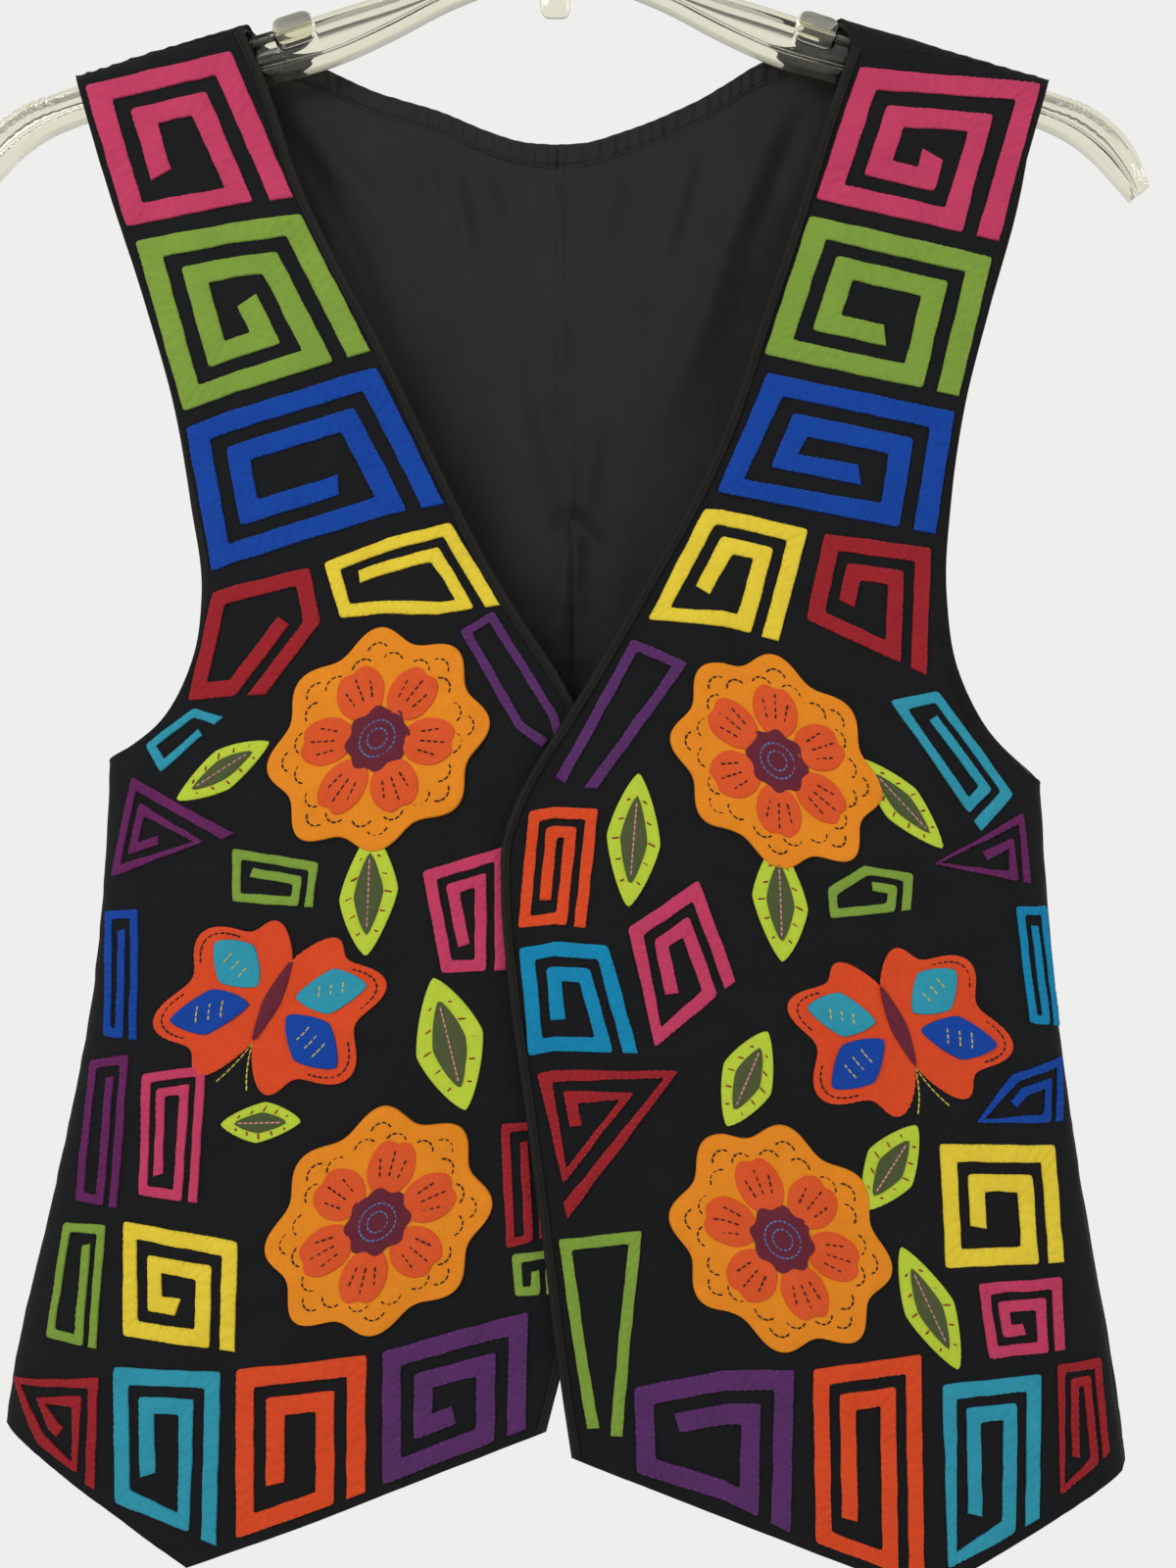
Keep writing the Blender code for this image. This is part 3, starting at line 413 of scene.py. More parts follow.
def back_grid(side, across, down):
    """The back half, centre seam to side, its top up the neck, over the ridge and along the seam."""
    shape = BACKS[side]
    split = int(np.argmin(np.abs(across - NECK_SHARE)))
    seam = seam_line(side, BACK, -SEAM_GAP / 2, (across[split:] - across[split]) / (1 - across[split]))
    neck = np.concatenate([to_cloth(BACK, shape["neck"]), near_ridge(BACK, shape["turn"]), seam[:1]])
    top = np.concatenate([through(neck, across[: split + 1] / across[split])[:-1], seam])
    outer = outer_edge(BACK, side, shape, top[-1], down)
    drops = shape["neck"][0][1] + (shape["hem"][0][1] - shape["neck"][0][1]) * down
    inner = to_cloth(BACK, [(side * SEAM_GAP / 2, drop) for drop in drops])
    bottom = hem_edge(BACK, side, shape, across)
    return blended(top, bottom, inner, outer, across, down)


def lengths_along(points, axis):
    """The length run from the first row or column to each point of a grid."""
    steps = np.linalg.norm(np.diff(points, axis=axis), axis=-1)
    start = np.zeros_like(np.take(steps, [0], axis=axis))
    return np.cumsum(np.concatenate([start, steps], axis=axis), axis=axis)


def piece(name, points, faces, places, finish, stands_for=(), threads_from=None):
    """A mesh object from points and their (s, q), its faces turned outwards by the sign of its volume.

    Its points from threads_from on are sewing thread, which the attribute of that name marks for the material.
    """
    points = np.asarray(points, float).reshape(-1, 3)
    volume = 0.0
    for group in faces:
        a = points[group[:, 0]]
        for k in range(1, group.shape[1] - 1):
            volume += np.einsum("ij,ij->", a, np.cross(points[group[:, k]], points[group[:, k + 1]]))
    if volume < 0:
        faces = [group[:, ::-1] for group in faces]
    mesh = bpy.data.meshes.new(name)
    mesh.from_pydata((points * MM).tolist(), [], [face for group in faces for face in group.tolist()])
    corners = np.empty(len(mesh.loops), np.int32)
    mesh.loops.foreach_get("vertex_index", corners)
    cloth = mesh.uv_layers.new(name="cloth")
    cloth.data.foreach_set("uv", np.asarray(places, np.float32).reshape(-1, 2)[corners].ravel())
    if threads_from is not None:
        marks = mesh.attributes.new("thread", "FLOAT", "POINT")
        marks.data.foreach_set("value", (np.arange(len(points)) >= threads_from).astype(np.float32))
    mesh.materials.append(finish)
    mesh.shade_smooth()
    mesh.set_sharp_from_angle(angle=math.radians(55))
    made = bpy.data.objects.new(name, mesh)
    bpy.context.scene.collection.objects.link(made)
    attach(made, "root")
    if stands_for:
        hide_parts(*stands_for)
    return made


def grid_faces(rows, columns, start=0, wrap=False):
    """Quads between the points of a grid, its last column joined to its first if it wraps."""
    i, j = np.meshgrid(np.arange(rows - 1), np.arange(columns - (not wrap)), indexing="ij")
    a = start + i * columns + j
    b = start + i * columns + (j + 1) % columns
    return np.stack([a, b, b + columns, a + columns], axis=-1).reshape(-1, 4)


def walled(name, outside, inside, places, finish, stands_for=()):
    """A sheet with a wall: an outer and an inner grid of points, joined by quads round their rim."""
    rows, columns = outside.shape[:2]
    size = rows * columns
    whole = np.arange(size).reshape(rows, columns)
    rim = np.concatenate([whole[:-1, 0], whole[-1, :-1], whole[:0:-1, -1], whole[0, :0:-1]])
    after = np.roll(rim, -1)
    sides = np.stack([after, rim, rim + size, after + size], axis=1)
    front = grid_faces(rows, columns)
    faces = [front[:, ::-1], front + size, sides[:, ::-1]]
    points = np.concatenate([outside.reshape(-1, 3), inside.reshape(-1, 3)])
    both = np.concatenate([places.reshape(-1, 2)] * 2)
    return piece(name, points, faces, both, finish, stands_for)


def linear(tone):
    """An sRGB hex colour as linear red, green, blue and a full alpha."""
    parts = np.array([int(tone[i : i + 2], 16) for i in (1, 3, 5)]) / 255
    low = parts / 12.92
    high = ((parts + 0.055) / 1.055) ** 2.4
    return (*np.where(parts <= 0.04045, low, high).tolist(), 1.0)


def add(tree, kind, inputs=None, **settings):
    """Adds a node with its settings, each input set to a value or linked from another node's socket."""
    node = tree.nodes.new(kind)
    for name, value in settings.items():
        setattr(node, name, value)
    for name, value in (inputs or {}).items():
        if isinstance(value, bpy.types.NodeSocket):
            tree.links.new(value, node.inputs[name])
        else:
            node.inputs[name].default_value = value
    return node


DYE_SHARE = 0.75


def woven(name, tone, shade, stitch="#1A1A1C", thread=0.55, sheen=0.06, roughness=0.85, slub=0.5):
    """Plain woven cotton: crossed threads, slubs where the yarn thickens, and dye that took a little unevenly.

    Its threads are 0.3 mm apart in the cloth and are drawn coarser here, so that they show.
    Tones are given as they look in the studio's light, and the dye itself is darker by a fixed share.
    """
    dark, light, sewing_tone = ((*(c * DYE_SHARE for c in linear(t)[:3]), 1.0) for t in (shade, tone, stitch))
    made = bpy.data.materials.new(name)
    made.use_nodes = True
    tree = made.node_tree
    shader = tree.nodes["Principled BSDF"]
    shader.inputs["Roughness"].default_value = roughness
    shader.inputs["Sheen Weight"].default_value = sheen
    shader.inputs["Sheen Roughness"].default_value = 0.45
    shader.inputs["Specular IOR Level"].default_value = 0.18
    cloth = add(tree, "ShaderNodeUVMap", uv_map="cloth").outputs["UV"]
    # A wave node repeats every tenth of pi at a scale of 1.
    period = math.pi / 10 / thread
    yarn = {"Vector": cloth, "Scale": period, "Distortion": 0.6}
    wefts = add(tree, "ShaderNodeTexWave", yarn, bands_direction="Y")
    warps = add(tree, "ShaderNodeTexWave", yarn, bands_direction="X")
    weave = add(tree, "ShaderNodeMath", {0: wefts.outputs["Fac"], 1: warps.outputs["Fac"]}, operation="ADD")
    slubs = add(tree, "ShaderNodeTexNoise", {"Vector": cloth, "Scale": 0.45, "Detail": 3.0, "Roughness": 0.6})
    dye = add(tree, "ShaderNodeTexNoise", {"Vector": cloth, "Scale": 0.06, "Detail": 2.0})
    fuzz = add(tree, "ShaderNodeTexNoise", {"Vector": cloth, "Scale": 2.2, "Detail": 2.0})
    body = add(tree, "ShaderNodeMath", {0: slubs.outputs["Fac"], 1: 1.3 * slub}, operation="MULTIPLY")
    mixed = {0: dye.outputs["Fac"], 1: 0.7, 2: body.outputs[0]}
    blotch = add(tree, "ShaderNodeMath", mixed, operation="MULTIPLY_ADD")
    mixed = {0: weave.outputs[0], 1: 0.16, 2: blotch.outputs[0]}
    grain = add(tree, "ShaderNodeMath", mixed, operation="MULTIPLY_ADD")
    spread = add(tree, "ShaderNodeMapRange", {"Value": grain.outputs[0], "From Min": 0.45, "From Max": 1.15})
    colours = add(tree, "ShaderNodeValToRGB", {"Fac": spread.outputs["Result"]})
    colours.color_ramp.elements[0].color = dark
    colours.color_ramp.elements[1].color = light
    marks = add(tree, "ShaderNodeAttribute", attribute_name="thread")
    sewn = add(tree, "ShaderNodeMix", {"Factor": marks.outputs["Fac"]}, data_type="RGBA")
    tree.links.new(colours.outputs["Color"], sewn.inputs[6])
    sewn.inputs[7].default_value = sewing_tone
    tree.links.new(sewn.outputs[2], shader.inputs["Base Color"])
    mixed = {0: fuzz.outputs["Fac"], 1: 1.2, 2: weave.outputs[0]}
    height = add(tree, "ShaderNodeMath", mixed, operation="MULTIPLY_ADD")
    bump = add(tree, "ShaderNodeBump", {"Height": height.outputs[0], "Distance": 0.00012, "Strength": 0.5})
    tree.links.new(bump.outputs["Normal"], shader.inputs["Normal"])
    return made


BACK_WALL = 1.0
HEM_STITCH = 11
back_cotton = woven("plain_black_cotton", "#151619", "#0D0E11", sheen=0.02)
back_across = np.concatenate([np.linspace(0, NECK_SHARE, 50), np.linspace(NECK_SHARE, 1, 28)[1:]])
back_down = rows_down(18, 0.058, 150)

for side, word in SIDES:
    places = back_grid(side, back_across, back_down)
    flat_points = on_cloth(BACK, places, 0.0)
    from_top, to_hem = lengths_along(flat_points, 0), lengths_along(flat_points[::-1], 0)[::-1]
    from_seam = np.abs(places[..., 0])
    seam_wrinkles = 0.25 * np.exp(-from_seam / 9) * np.sin(places[..., 1] / 2.3 + side)
    seam_pull = 0.6 * np.exp(-from_seam / 1.6) + seam_wrinkles
    hem_stitch = 0.35 * np.exp(-(((to_hem - HEM_STITCH) / 1.1) ** 2))
    neck_pucker = 0.3 * np.exp(-from_top / 6) * np.sin(places[..., 0] / 0.9 + 2 * np.sin(places[..., 0] / 7))
    relief = -seam_pull - hem_stitch + neck_pucker
    back = walled(
        f"plain_back_{word}",
        on_cloth(BACK, places, relief),
        on_cloth(BACK, places, relief * 0.4 - BACK_WALL),
        places,
        back_cotton,
        [f"back_{word}"],
    )

# The lining: the same two halves in a smooth dark brown-black cloth, bagged out with the back at the neck.
# Its neck edge is a fold with a row of stitches under it, and puckers fan out from it and from the centre seam.

LINING_WALL = 1.1
LINING_LIFT = BACK_WALL + 0.3
NECK_STITCH = 7.5
lining_cloth = woven(
    "smooth_lining_cloth", "#25211D", "#1B1815", thread=0.4, sheen=0.05, roughness=0.45, slub=0.35
)
beside_seam = [0, 0.002, 0.004, 0.0065, 0.01, 0.015]
lining_across = [beside_seam, np.linspace(0.02, NECK_SHARE, 130), np.linspace(NECK_SHARE, 1, 24)[1:]]
lining_across = np.concatenate(lining_across)
lining_down = rows_down(50, 0.045, 180)

for side, word in SIDES:
    places = back_grid(side, lining_across, lining_down)
    s, q = places[..., 0], places[..., 1]
    flat_points = on_cloth(BACK, places, 0.0)
    from_top, along_top = lengths_along(flat_points, 0), lengths_along(flat_points, 1)
    pucker = np.sin(along_top / 0.85 + 1.5 * np.sin(along_top / 6.1 + side))
    at_neck = ease((NECK_SHARE + 0.01 - lining_across) / 0.06)[None]
    edge_pucker = 0.45 * np.exp(-(((from_top - 0.5 * NECK_STITCH) / 4.5) ** 2)) * pucker
    stitch_row = 0.55 * np.exp(-(((from_top - NECK_STITCH) / 0.6) ** 2)) * (1 + 0.6 * np.sin(along_top / 0.42))
    hem_fold = -0.5 * (1 - ease((from_top - NECK_STITCH - 0.8) / 0.8))
    seam_groove = 0.8 * np.exp(-np.abs(s) / 0.8)
    seam_pucker = 0.35 * np.exp(-np.abs(s) / 7) * np.sin(q / 1.9 + 1.3 * np.sin(q / 13) + side)
    relief = (edge_pucker + stitch_row + hem_fold) * at_neck + seam_groove + seam_pucker
    lining = walled(
        f"smooth_lining_{word}",
        on_cloth(BACK, places, -LINING_LIFT + 0.15 * np.clip(relief, -1, 1)),
        on_cloth(BACK, places, -LINING_LIFT - LINING_WALL + relief),
        places,
        lining_cloth,
        [f"lining_{word}"],
    )

# The fronts: black woven cotton, cut to a V at the neck and a point at the hem, under the applique.
# They are sewn to the back at the shoulder and side seams. The wearer's left one laps over the right.

FRONTS = {
    LEFT: {
        "neck": [(98.8, 137), (87.5, 173), (75, 210), (58.8, 257.5), (28, 315.6), (3, 358), (-14, 387.6)],
        "edge": [(-18.6, 402), (-18.9, 415), (-15.7, 455), (-10.8, 490), (-3.6, 545), (6.1, 616.5)],
        "armhole": [
            (167, 168), (157, 204), (148, 240), (141, 275),
            (137.6, 310), (142.4, 345), (155, 366), (177.5, 380),
        ],
        "hem": [(6.1, 616.5), (133, 667.5), (208, 628)],
    },
    RIGHT: {
        "neck": [
            (-105, 125), (-91, 165), (-77.5, 193), (-64, 218),
            (-45, 258), (-22.5, 303), (6.5, 350), (19, 373),
        ],
        "edge": [(25.5, 391), (26.5, 404), (23, 430), (17, 475), (11, 525), (2, 590), (-2.8, 608.5)],
        "armhole": [
            (-161, 168), (-149, 204), (-138, 240), (-130.5, 275),
            (-125.3, 310), (-129, 332), (-142, 358), (-163.5, 372),
        ],
        "hem": [(-2.8, 608.5), (-130.5, 658), (-202, 611)],
    },
}
FRONT_WALL = 1.4


def front_edge(side, shares):
    """The neck and front edge from the shoulder seam down to the hem."""
    shape = FRONTS[side]
    start = seam_line(side, FRONT, SEAM_GAP / 2, np.array([0.0]))
    return through(np.concatenate([start, to_cloth(FRONT, shape["neck"] + shape["edge"])]), shares)


def front_grid(side, across, down):
    shape = FRONTS[side]
    top = seam_line(side, FRONT, SEAM_GAP / 2, across)
    inner = front_edge(side, down)
    outer = outer_edge(FRONT, side, shape, top[-1], down)
    return blended(top, hem_edge(FRONT, side, shape, across), inner, outer, across, down)


front_cotton = woven("black_base_cotton", "#131417", "#0C0D0F", sheen=0.02)
front_across = np.linspace(0, 1, 91)
front_down = rows_down(12, 0.036, 262)

for side, word in SIDES:
    laps = side == LEFT
    places = front_grid(side, front_across, front_down)
    s, q = places[..., 0], places[..., 1]
    puckers = 0.10 * uneven(s, q, 5.2, 1 + side)
    walled(
        f"applique_front_{word}",
        on_cloth(FRONT, places, puckers - 0.1, laps),
        on_cloth(FRONT, places, 0.5 * puckers - FRONT_WALL, laps),
        places,
        front_cotton,
        [f"front_{word}"],
    )

# The rolled edges: a narrow strip of thin olive-black cotton, folded over each front's neck and front edge.
# It is topstitched close to its inner side, which sinks a groove along it.

EDGE_WIDTH = 3.2
EDGE_INSET = 0.1
CLOTH_REST = 0.12
TURN_RADIUS = 0.7
STRIP_SHARES = np.array([0, 0.021, 0.053, 0.106, 0.2, 0.34, 0.5, 0.66, 0.8, 0.894, 0.947, 0.979, 1])


def stations(total, step):
    """Distances along a strip: even steps, closer at both ends where its cut end is turned under."""
    ends = np.array([0, 0.15, 0.4, 0.8])
    middle = np.linspace(1.3, total - 1.3, max(2, int((total - 2.6) / step) + 1))
    return np.concatenate([ends, middle, total - ends[::-1]])


def turned_up(distance):
    """How far up the folded rim a point is, 0 to 1: a quarter circle over the first part of the distance in."""
    return np.sqrt(1 - (1 - np.clip(distance / TURN_RADIUS, 0, 1)) ** 2)


def strip_grid(left, right, run, relief, laps):
    """(points, faces, places) of a strip of cloth between two edge lines, its rims turned under.

    relief gives the height of its top from (distance in from the rim, distance along, share across).
    """
    share = STRIP_SHARES[None, :, None]
    places = left[:, None] * (1 - share) + right[:, None] * share
    width = np.linalg.norm(left - right, axis=1)[:, None]
    rim = np.minimum(share[..., 0], 1 - share[..., 0]) * width
    rim = np.minimum(rim, np.minimum(run, run[-1] - run)[:, None])
    top = on_cloth(FRONT, places, CLOTH_REST + relief(rim, run[:, None], share[..., 0]), laps)
    rows, columns = top.shape[:2]
    a = np.arange(rows - 1) * columns
    under = np.stack([a + columns, a + 2 * columns - 1, a + columns - 1, a], axis=1)
    first, last = np.arange(columns)[None], (rows - 1) * columns + np.arange(columns)[None, ::-1]
    faces = [grid_faces(rows, columns), under[:, ::-1], first[:, ::-1], last[:, ::-1]]
    return top.reshape(-1, 3), faces, places.reshape(-1, 2)


sewn_on = {LEFT: [], RIGHT: []}
rolled_cotton = woven("rolled_edge_cotton", "#1C1B18", "#131210", thread=0.4, sheen=0.05, roughness=0.7)


def rolled(rim, run, share):
    """A round roll, with the topstitched groove two thirds of the way in and a slight pull at each stitch."""
    groove = 0.45 * np.exp(-(((share - 0.68) / 0.09) ** 2)) * (1 + 0.3 * np.sin(run * 2 * math.pi / 2.4))
    pull = 0.08 * np.sin(run / 1.15 + 2 * np.sin(run / 9))
    return 1.25 * turned_up(rim) - groove + pull * np.clip(rim, 0, 1)


for side, word in SIDES:
    outline = front_edge(side, np.linspace(0, 1, 460))
    run = run_along(outline)
    way = unit(np.gradient(outline, axis=0))
    inwards = np.stack([way[:, 1], -way[:, 0]], axis=1) * side
    laps = side == LEFT
    outer, inner = outline + inwards * EDGE_INSET, outline + inwards * (EDGE_WIDTH + EDGE_INSET)
    points, faces, places = strip_grid(outer, inner, run, rolled, laps)
    roll = piece(f"rolled_edge_{word}", points, faces, places, rolled_cotton, [f"edge_{word}"])
    sewn_on[side].append(roll)

# The bands: strips of dyed cotton that coil inwards round each block, their raw edges turned under by needle.
# They are cut by hand, so their edges waver, and the small stitches that hold them pull the cloth into puckers.

BAND_WIDTH = 7.6
NARROWEST_BAND = 3.2
TURNS_ACROSS = 7.0
GAP_SHARE = 0.65
SHORTEST_END = 2.0
LAST_RUN_SHARE = 0.9
BAND_STEP = 1.0
SHARPEST_MITRE = 0.62
STEEPEST_CUT = 0.8
WAVER, WAVER_LENGTH = 0.14, 8.0
STITCH_STEP, STITCH_PULL = 2.7, 0.05
PATCH_HEIGHT = 0.82
PUCKER_STEP = 4.7

# Each colour's cloth, its darker threads, and its sewing thread
DYES = {
    "pink": ("#D2436C", "#BC3660", "#DB6182"),
    "green": ("#8AAB40", "#78993A", "#9DB764"),
    "blue": ("#0C4AB0", "#083C98", "#3566B8"),
    "yellow": ("#F8DE40", "#E6C835", "#E8CC50"),
    "red": ("#A9222B", "#921B26", "#B94A46"),
    "purple": ("#61306F", "#50265E", "#7A5088"),
    "plum": ("#702464", "#5C1C54", "#84407A"),
    "teal": ("#33A3BC", "#2890AA", "#55B0C4"),
    "cyan": ("#0C92C2", "#087FAE", "#38A2CA"),
    "orange": ("#EB5224", "#D8431C", "#EE7448"),
    "amber": ("#F79622", "#E88618", "#F9AC48"),
    "lime": ("#CADF42", "#B9CF38", "#D2E362"),
}
dyed = {name: woven(f"{name}_cotton", *tones, sheen=0.02) for name, tones in DYES.items()}

# Blocks of banded cloth, with their corners as (x, drop)
BLOCKS = {
    RIGHT: {
        "strap_pink": ("pink", [(-170.5, 127), (-117.5, 114.5), (-94.5, 168), (-155.3, 178.4)]),
        "strap_green": ("green", [(-152, 183.5), (-92, 173.8), (-66.5, 224), (-134.3, 245.6)]),
        "strap_blue": ("blue", [(-133.3, 251.3), (-64.5, 229.6), (-39.6, 279.6), (-123.6, 303.4)]),
        "chest_red": ("red", [(-123.4, 311), (-88, 302), (-84, 322), (-104, 348), (-132, 350)]),
        "chest_yellow": ("yellow", [(-83, 300.5), (-37.5, 286), (-19.5, 316), (-42, 319.5), (-77, 320.5)]),
        "chest_purple": ("purple", [(-34, 325), (-22, 318), (1, 355), (7, 377), (-14, 360)]),
        "side_teal": ("teal", [(-148, 366), (-129.5, 352.5), (-119, 356), (-142, 376)]),
        "side_plum": ("plum", [(-161, 414), (-153, 377), (-114, 398)]),
        "middle_green": ("green", [(-115, 403), (-84, 408), (-86, 424), (-115, 422)]),
        "middle_pink": ("pink", [(-47, 411), (-17, 402), (-17, 446), (-40, 447)]),
        "side_blue": ("blue", [(-163, 426), (-150, 425), (-150, 472), (-163, 471)]),
        "side_plum_lower": ("plum", [(-168, 480), (-153, 477), (-157, 532), (-173, 530)]),
        "side_green": ("green", [(-177, 538), (-161, 538), (-164, 582), (-183, 579)]),
        "middle_yellow": ("yellow", [(-155, 536), (-112, 542), (-113, 581), (-154, 577)]),
        "hem_red": ("red", [(-197, 594), (-163, 592), (-164, 632), (-186, 617)]),
        "hem_teal": ("teal", [(-157.5, 588), (-118, 588), (-119.5, 649.5), (-156.5, 636)]),
        "hem_orange": ("orange", [(-112.5, 587), (-66, 581), (-66.5, 629.5), (-112.5, 646.5)]),
        "hem_purple": ("purple", [(-60.5, 580), (-9, 566), (-10, 607.5), (-60.5, 627)]),
    },
    LEFT: {
        "strap_pink": ("pink", [(110.2, 120.5), (176.8, 125.8), (160.6, 183.4), (94.2, 168.6)]),
        "strap_green": ("green", [(92, 174.5), (158.2, 189.3), (145.8, 240), (75.2, 225.5)]),
        "strap_blue": ("blue", [(76.5, 232), (144.3, 245.6), (137, 290), (57, 276.5)]),
        "chest_yellow": ("yellow", [(53.5, 281.5), (91, 288.5), (80, 329), (32.5, 322)]),
        "chest_red": ("red", [(97, 290), (135.5, 295), (133.5, 341), (90, 321)]),
        "chest_purple": ("purple", [(27.5, 328.5), (47.5, 337), (37, 352), (15, 382), (-1, 381)]),
        "side_teal": ("teal", [(120, 350), (137.5, 346.5), (165.5, 384), (153, 397)]),
        "side_plum": ("plum", [(131, 409), (169.5, 389.5), (172, 416)]),
        "middle_green": ("green", [(97, 417), (110, 409), (128, 412), (127, 425), (98, 428)]),
        "centre_orange": ("orange", [(-9, 390), (15.5, 389), (11, 431), (-12.8, 431)]),
        "middle_pink": ("pink", [(26, 431), (51, 414), (64, 450), (35, 474)]),
        "centre_cyan": ("cyan", [(-12.4, 438), (19, 437), (29.5, 475), (-9, 476)]),
        "centre_red": ("red", [(-6, 482), (46, 480), (4.5, 533)]),
        "centre_green": ("green", [(1.5, 540), (31, 537), (24, 609), (12, 608)]),
        "middle_yellow": ("yellow", [(137, 508), (180, 510), (183, 552), (139, 552)]),
        "hem_purple": ("purple", [(28, 592), (84.5, 586), (83, 643.5), (29, 621.8)]),
        "hem_orange": ("orange", [(91, 586), (130, 582), (131, 662.5), (92, 647)]),
        "hem_teal": ("teal", [(137.5, 593), (174, 591), (173, 642), (138.5, 660)]),
        "hem_red": ("red", [(180, 588), (197, 587), (200, 621), (180, 636)]),
    },
}


def clear_of(path, end, reach):
    """True if a run from the path's last point to an end stays that far from all but the last run before it."""
    run = path[-1] + (end - path[-1]) * np.linspace(0.3, 1, 8)[:, None]
    for a, b in zip(path[:-2], path[1:-1]):
        share = np.clip((run - a) @ (b - a) / ((b - a) @ (b - a)), 0, 1)
        if np.linalg.norm(run - a - share[:, None] * (b - a), axis=1).min() < reach:
            return False
    return True


def spiral(corners, width, gap):
    """(path, cut): a band's middle line, from the lower right corner in along the sides, and its end's slant."""
    corners = np.array(corners, float)
    area = np.sum(corners[:, 0] * np.roll(corners[:, 1], -1) - np.roll(corners[:, 0], -1) * corners[:, 1])
    if area > 0:
        corners = corners[::-1]
    count = len(corners)
    corners = np.roll(corners, -int(np.argmax(corners.sum(axis=1))), axis=0)
    way = unit(np.roll(corners, -1, axis=0) - corners)
    inward = np.stack([way[:, 1], -way[:, 0]], axis=1)
    turns = np.arccos(np.clip(np.sum(way * np.roll(way, 1, axis=0), axis=1), -1, 1))
    mitre_reach = width / 2 * np.tan(turns / 2)

    def meeting(k):
        """Where side k - 1 and side k meet, each moved in by its turn's distance, but not at the start."""
        a, b = (k - 1) % count, k % count
        far = [width / 2 + side // count * (width + gap) for side in (k - 1, k)]
        if k == 0:
            far[0] = 0.0
        lines = np.array([inward[a], inward[b]])
        offsets = [corners[a] @ inward[a] + far[0], corners[b] @ inward[b] + far[1]]
        return np.linalg.solve(lines, offsets)

    path = [meeting(0), meeting(1)]
    for k in range(2, 8 * count):
        length = (meeting(k) - path[-1]) @ way[(k - 1) % count]
        behind, ahead = mitre_reach[(k - 1) % count], mitre_reach[k % count]
        if length < behind + LAST_RUN_SHARE * width or not clear_of(path, meeting(k), width + gap / 2):
            break
        path.append(meeting(k))
        if length < behind + ahead + SHORTEST_END:
            break
    return np.array(path), way[-1]


def band_width(places):
    """As wide as its room allows: the smaller of its narrow side and four times area over girth."""
    after = np.roll(places, -1, axis=0)
    area = abs(np.sum(places[:, 0] * after[:, 1] - after[:, 0] * places[:, 1])) / 2
    room = min(float(np.ptp(places, axis=0).min()), 4 * area / np.linalg.norm(after - places, axis=1).sum())
    return float(np.clip(room / TURNS_ACROSS, NARROWEST_BAND, BAND_WIDTH))


def band_edges(path, cut, width, seed):
    """(left, right, run): a band's mitred, wavering edges, its outer end cut along the block's side."""
    way = unit(np.diff(path, axis=0))
    across = np.stack([-way[:, 1], way[:, 0]], axis=1)
    before = np.concatenate([across[:1], across])
    mitre = before + np.concatenate([across, across[-1:]])
    mitre /= np.maximum(np.sum(mitre * before, axis=1, keepdims=True), SHARPEST_MITRE)
    square_to_cut = np.array([-cut[1], cut[0]])
    slope = across[0] @ square_to_cut / (way[0] @ square_to_cut)
    mitre[0] = across[0] - way[0] * np.clip(slope, -STEEPEST_CUT, STEEPEST_CUT)
    corner_run = run_along(path)
    run = stations(corner_run[-1], BAND_STEP)
    edges = []
    for sign in (1, -1):
        line = path + sign * mitre * width / 2
        edges.append(at_lengths(run, corner_run, line))
    # The needle can't turn a sharp corner, so each edge is averaged with its neighbours.
    weights = np.array([0.12, 0.76, 0.12])
    for _ in range(2):
        for edge in edges:
            inner = sum(w * edge[4 + k : len(edge) - 6 + k] for k, w in enumerate(weights))
            edge[5:-5] = inner
    out = unit(edges[0] - edges[1])
    for k, (edge, sign) in enumerate(zip(edges, (1, -1))):
        waver = WAVER * uneven(run, 0 * run, WAVER_LENGTH, seed + 0.7 * k)
        waver = waver + STITCH_PULL * np.sin(run * 2 * math.pi / STITCH_STEP)
        edge += out * (sign * waver)[:, None]
    return edges[0], edges[1], run


def band_relief(seed):
    """The band's top: up over the turned rim, a dip where the stitches hold it, and puckers across it."""

    def relief(rim, run, share):
        inside = np.clip(rim / 1.4, 0, 1)
        dip = 0.16 * np.exp(-(((rim - 0.95) / 0.35) ** 2)) * (1 + 0.8 * np.cos(run * 2 * math.pi / STITCH_STEP))
        drift = 1.6 * uneven(run, share * 9, 21, seed)
        pucker = 0.2 * np.sin(run * 2 * math.pi / PUCKER_STEP + drift)
        pucker = pucker + 0.12 * uneven(run, share * 8, 5.5, seed + 1)
        return PATCH_HEIGHT * turned_up(rim) - dip + pucker * inside + 0.1 * inside

    return relief


STITCH_STATIONS = np.array([-0.03, 0.2, 0.8, 1.03])
STITCH_GIRTHS = np.array([0.45, 1.0, 1.0, 0.45])
STITCH_HEIGHTS = np.array([-0.25, 0.06, 0.06, -0.25])


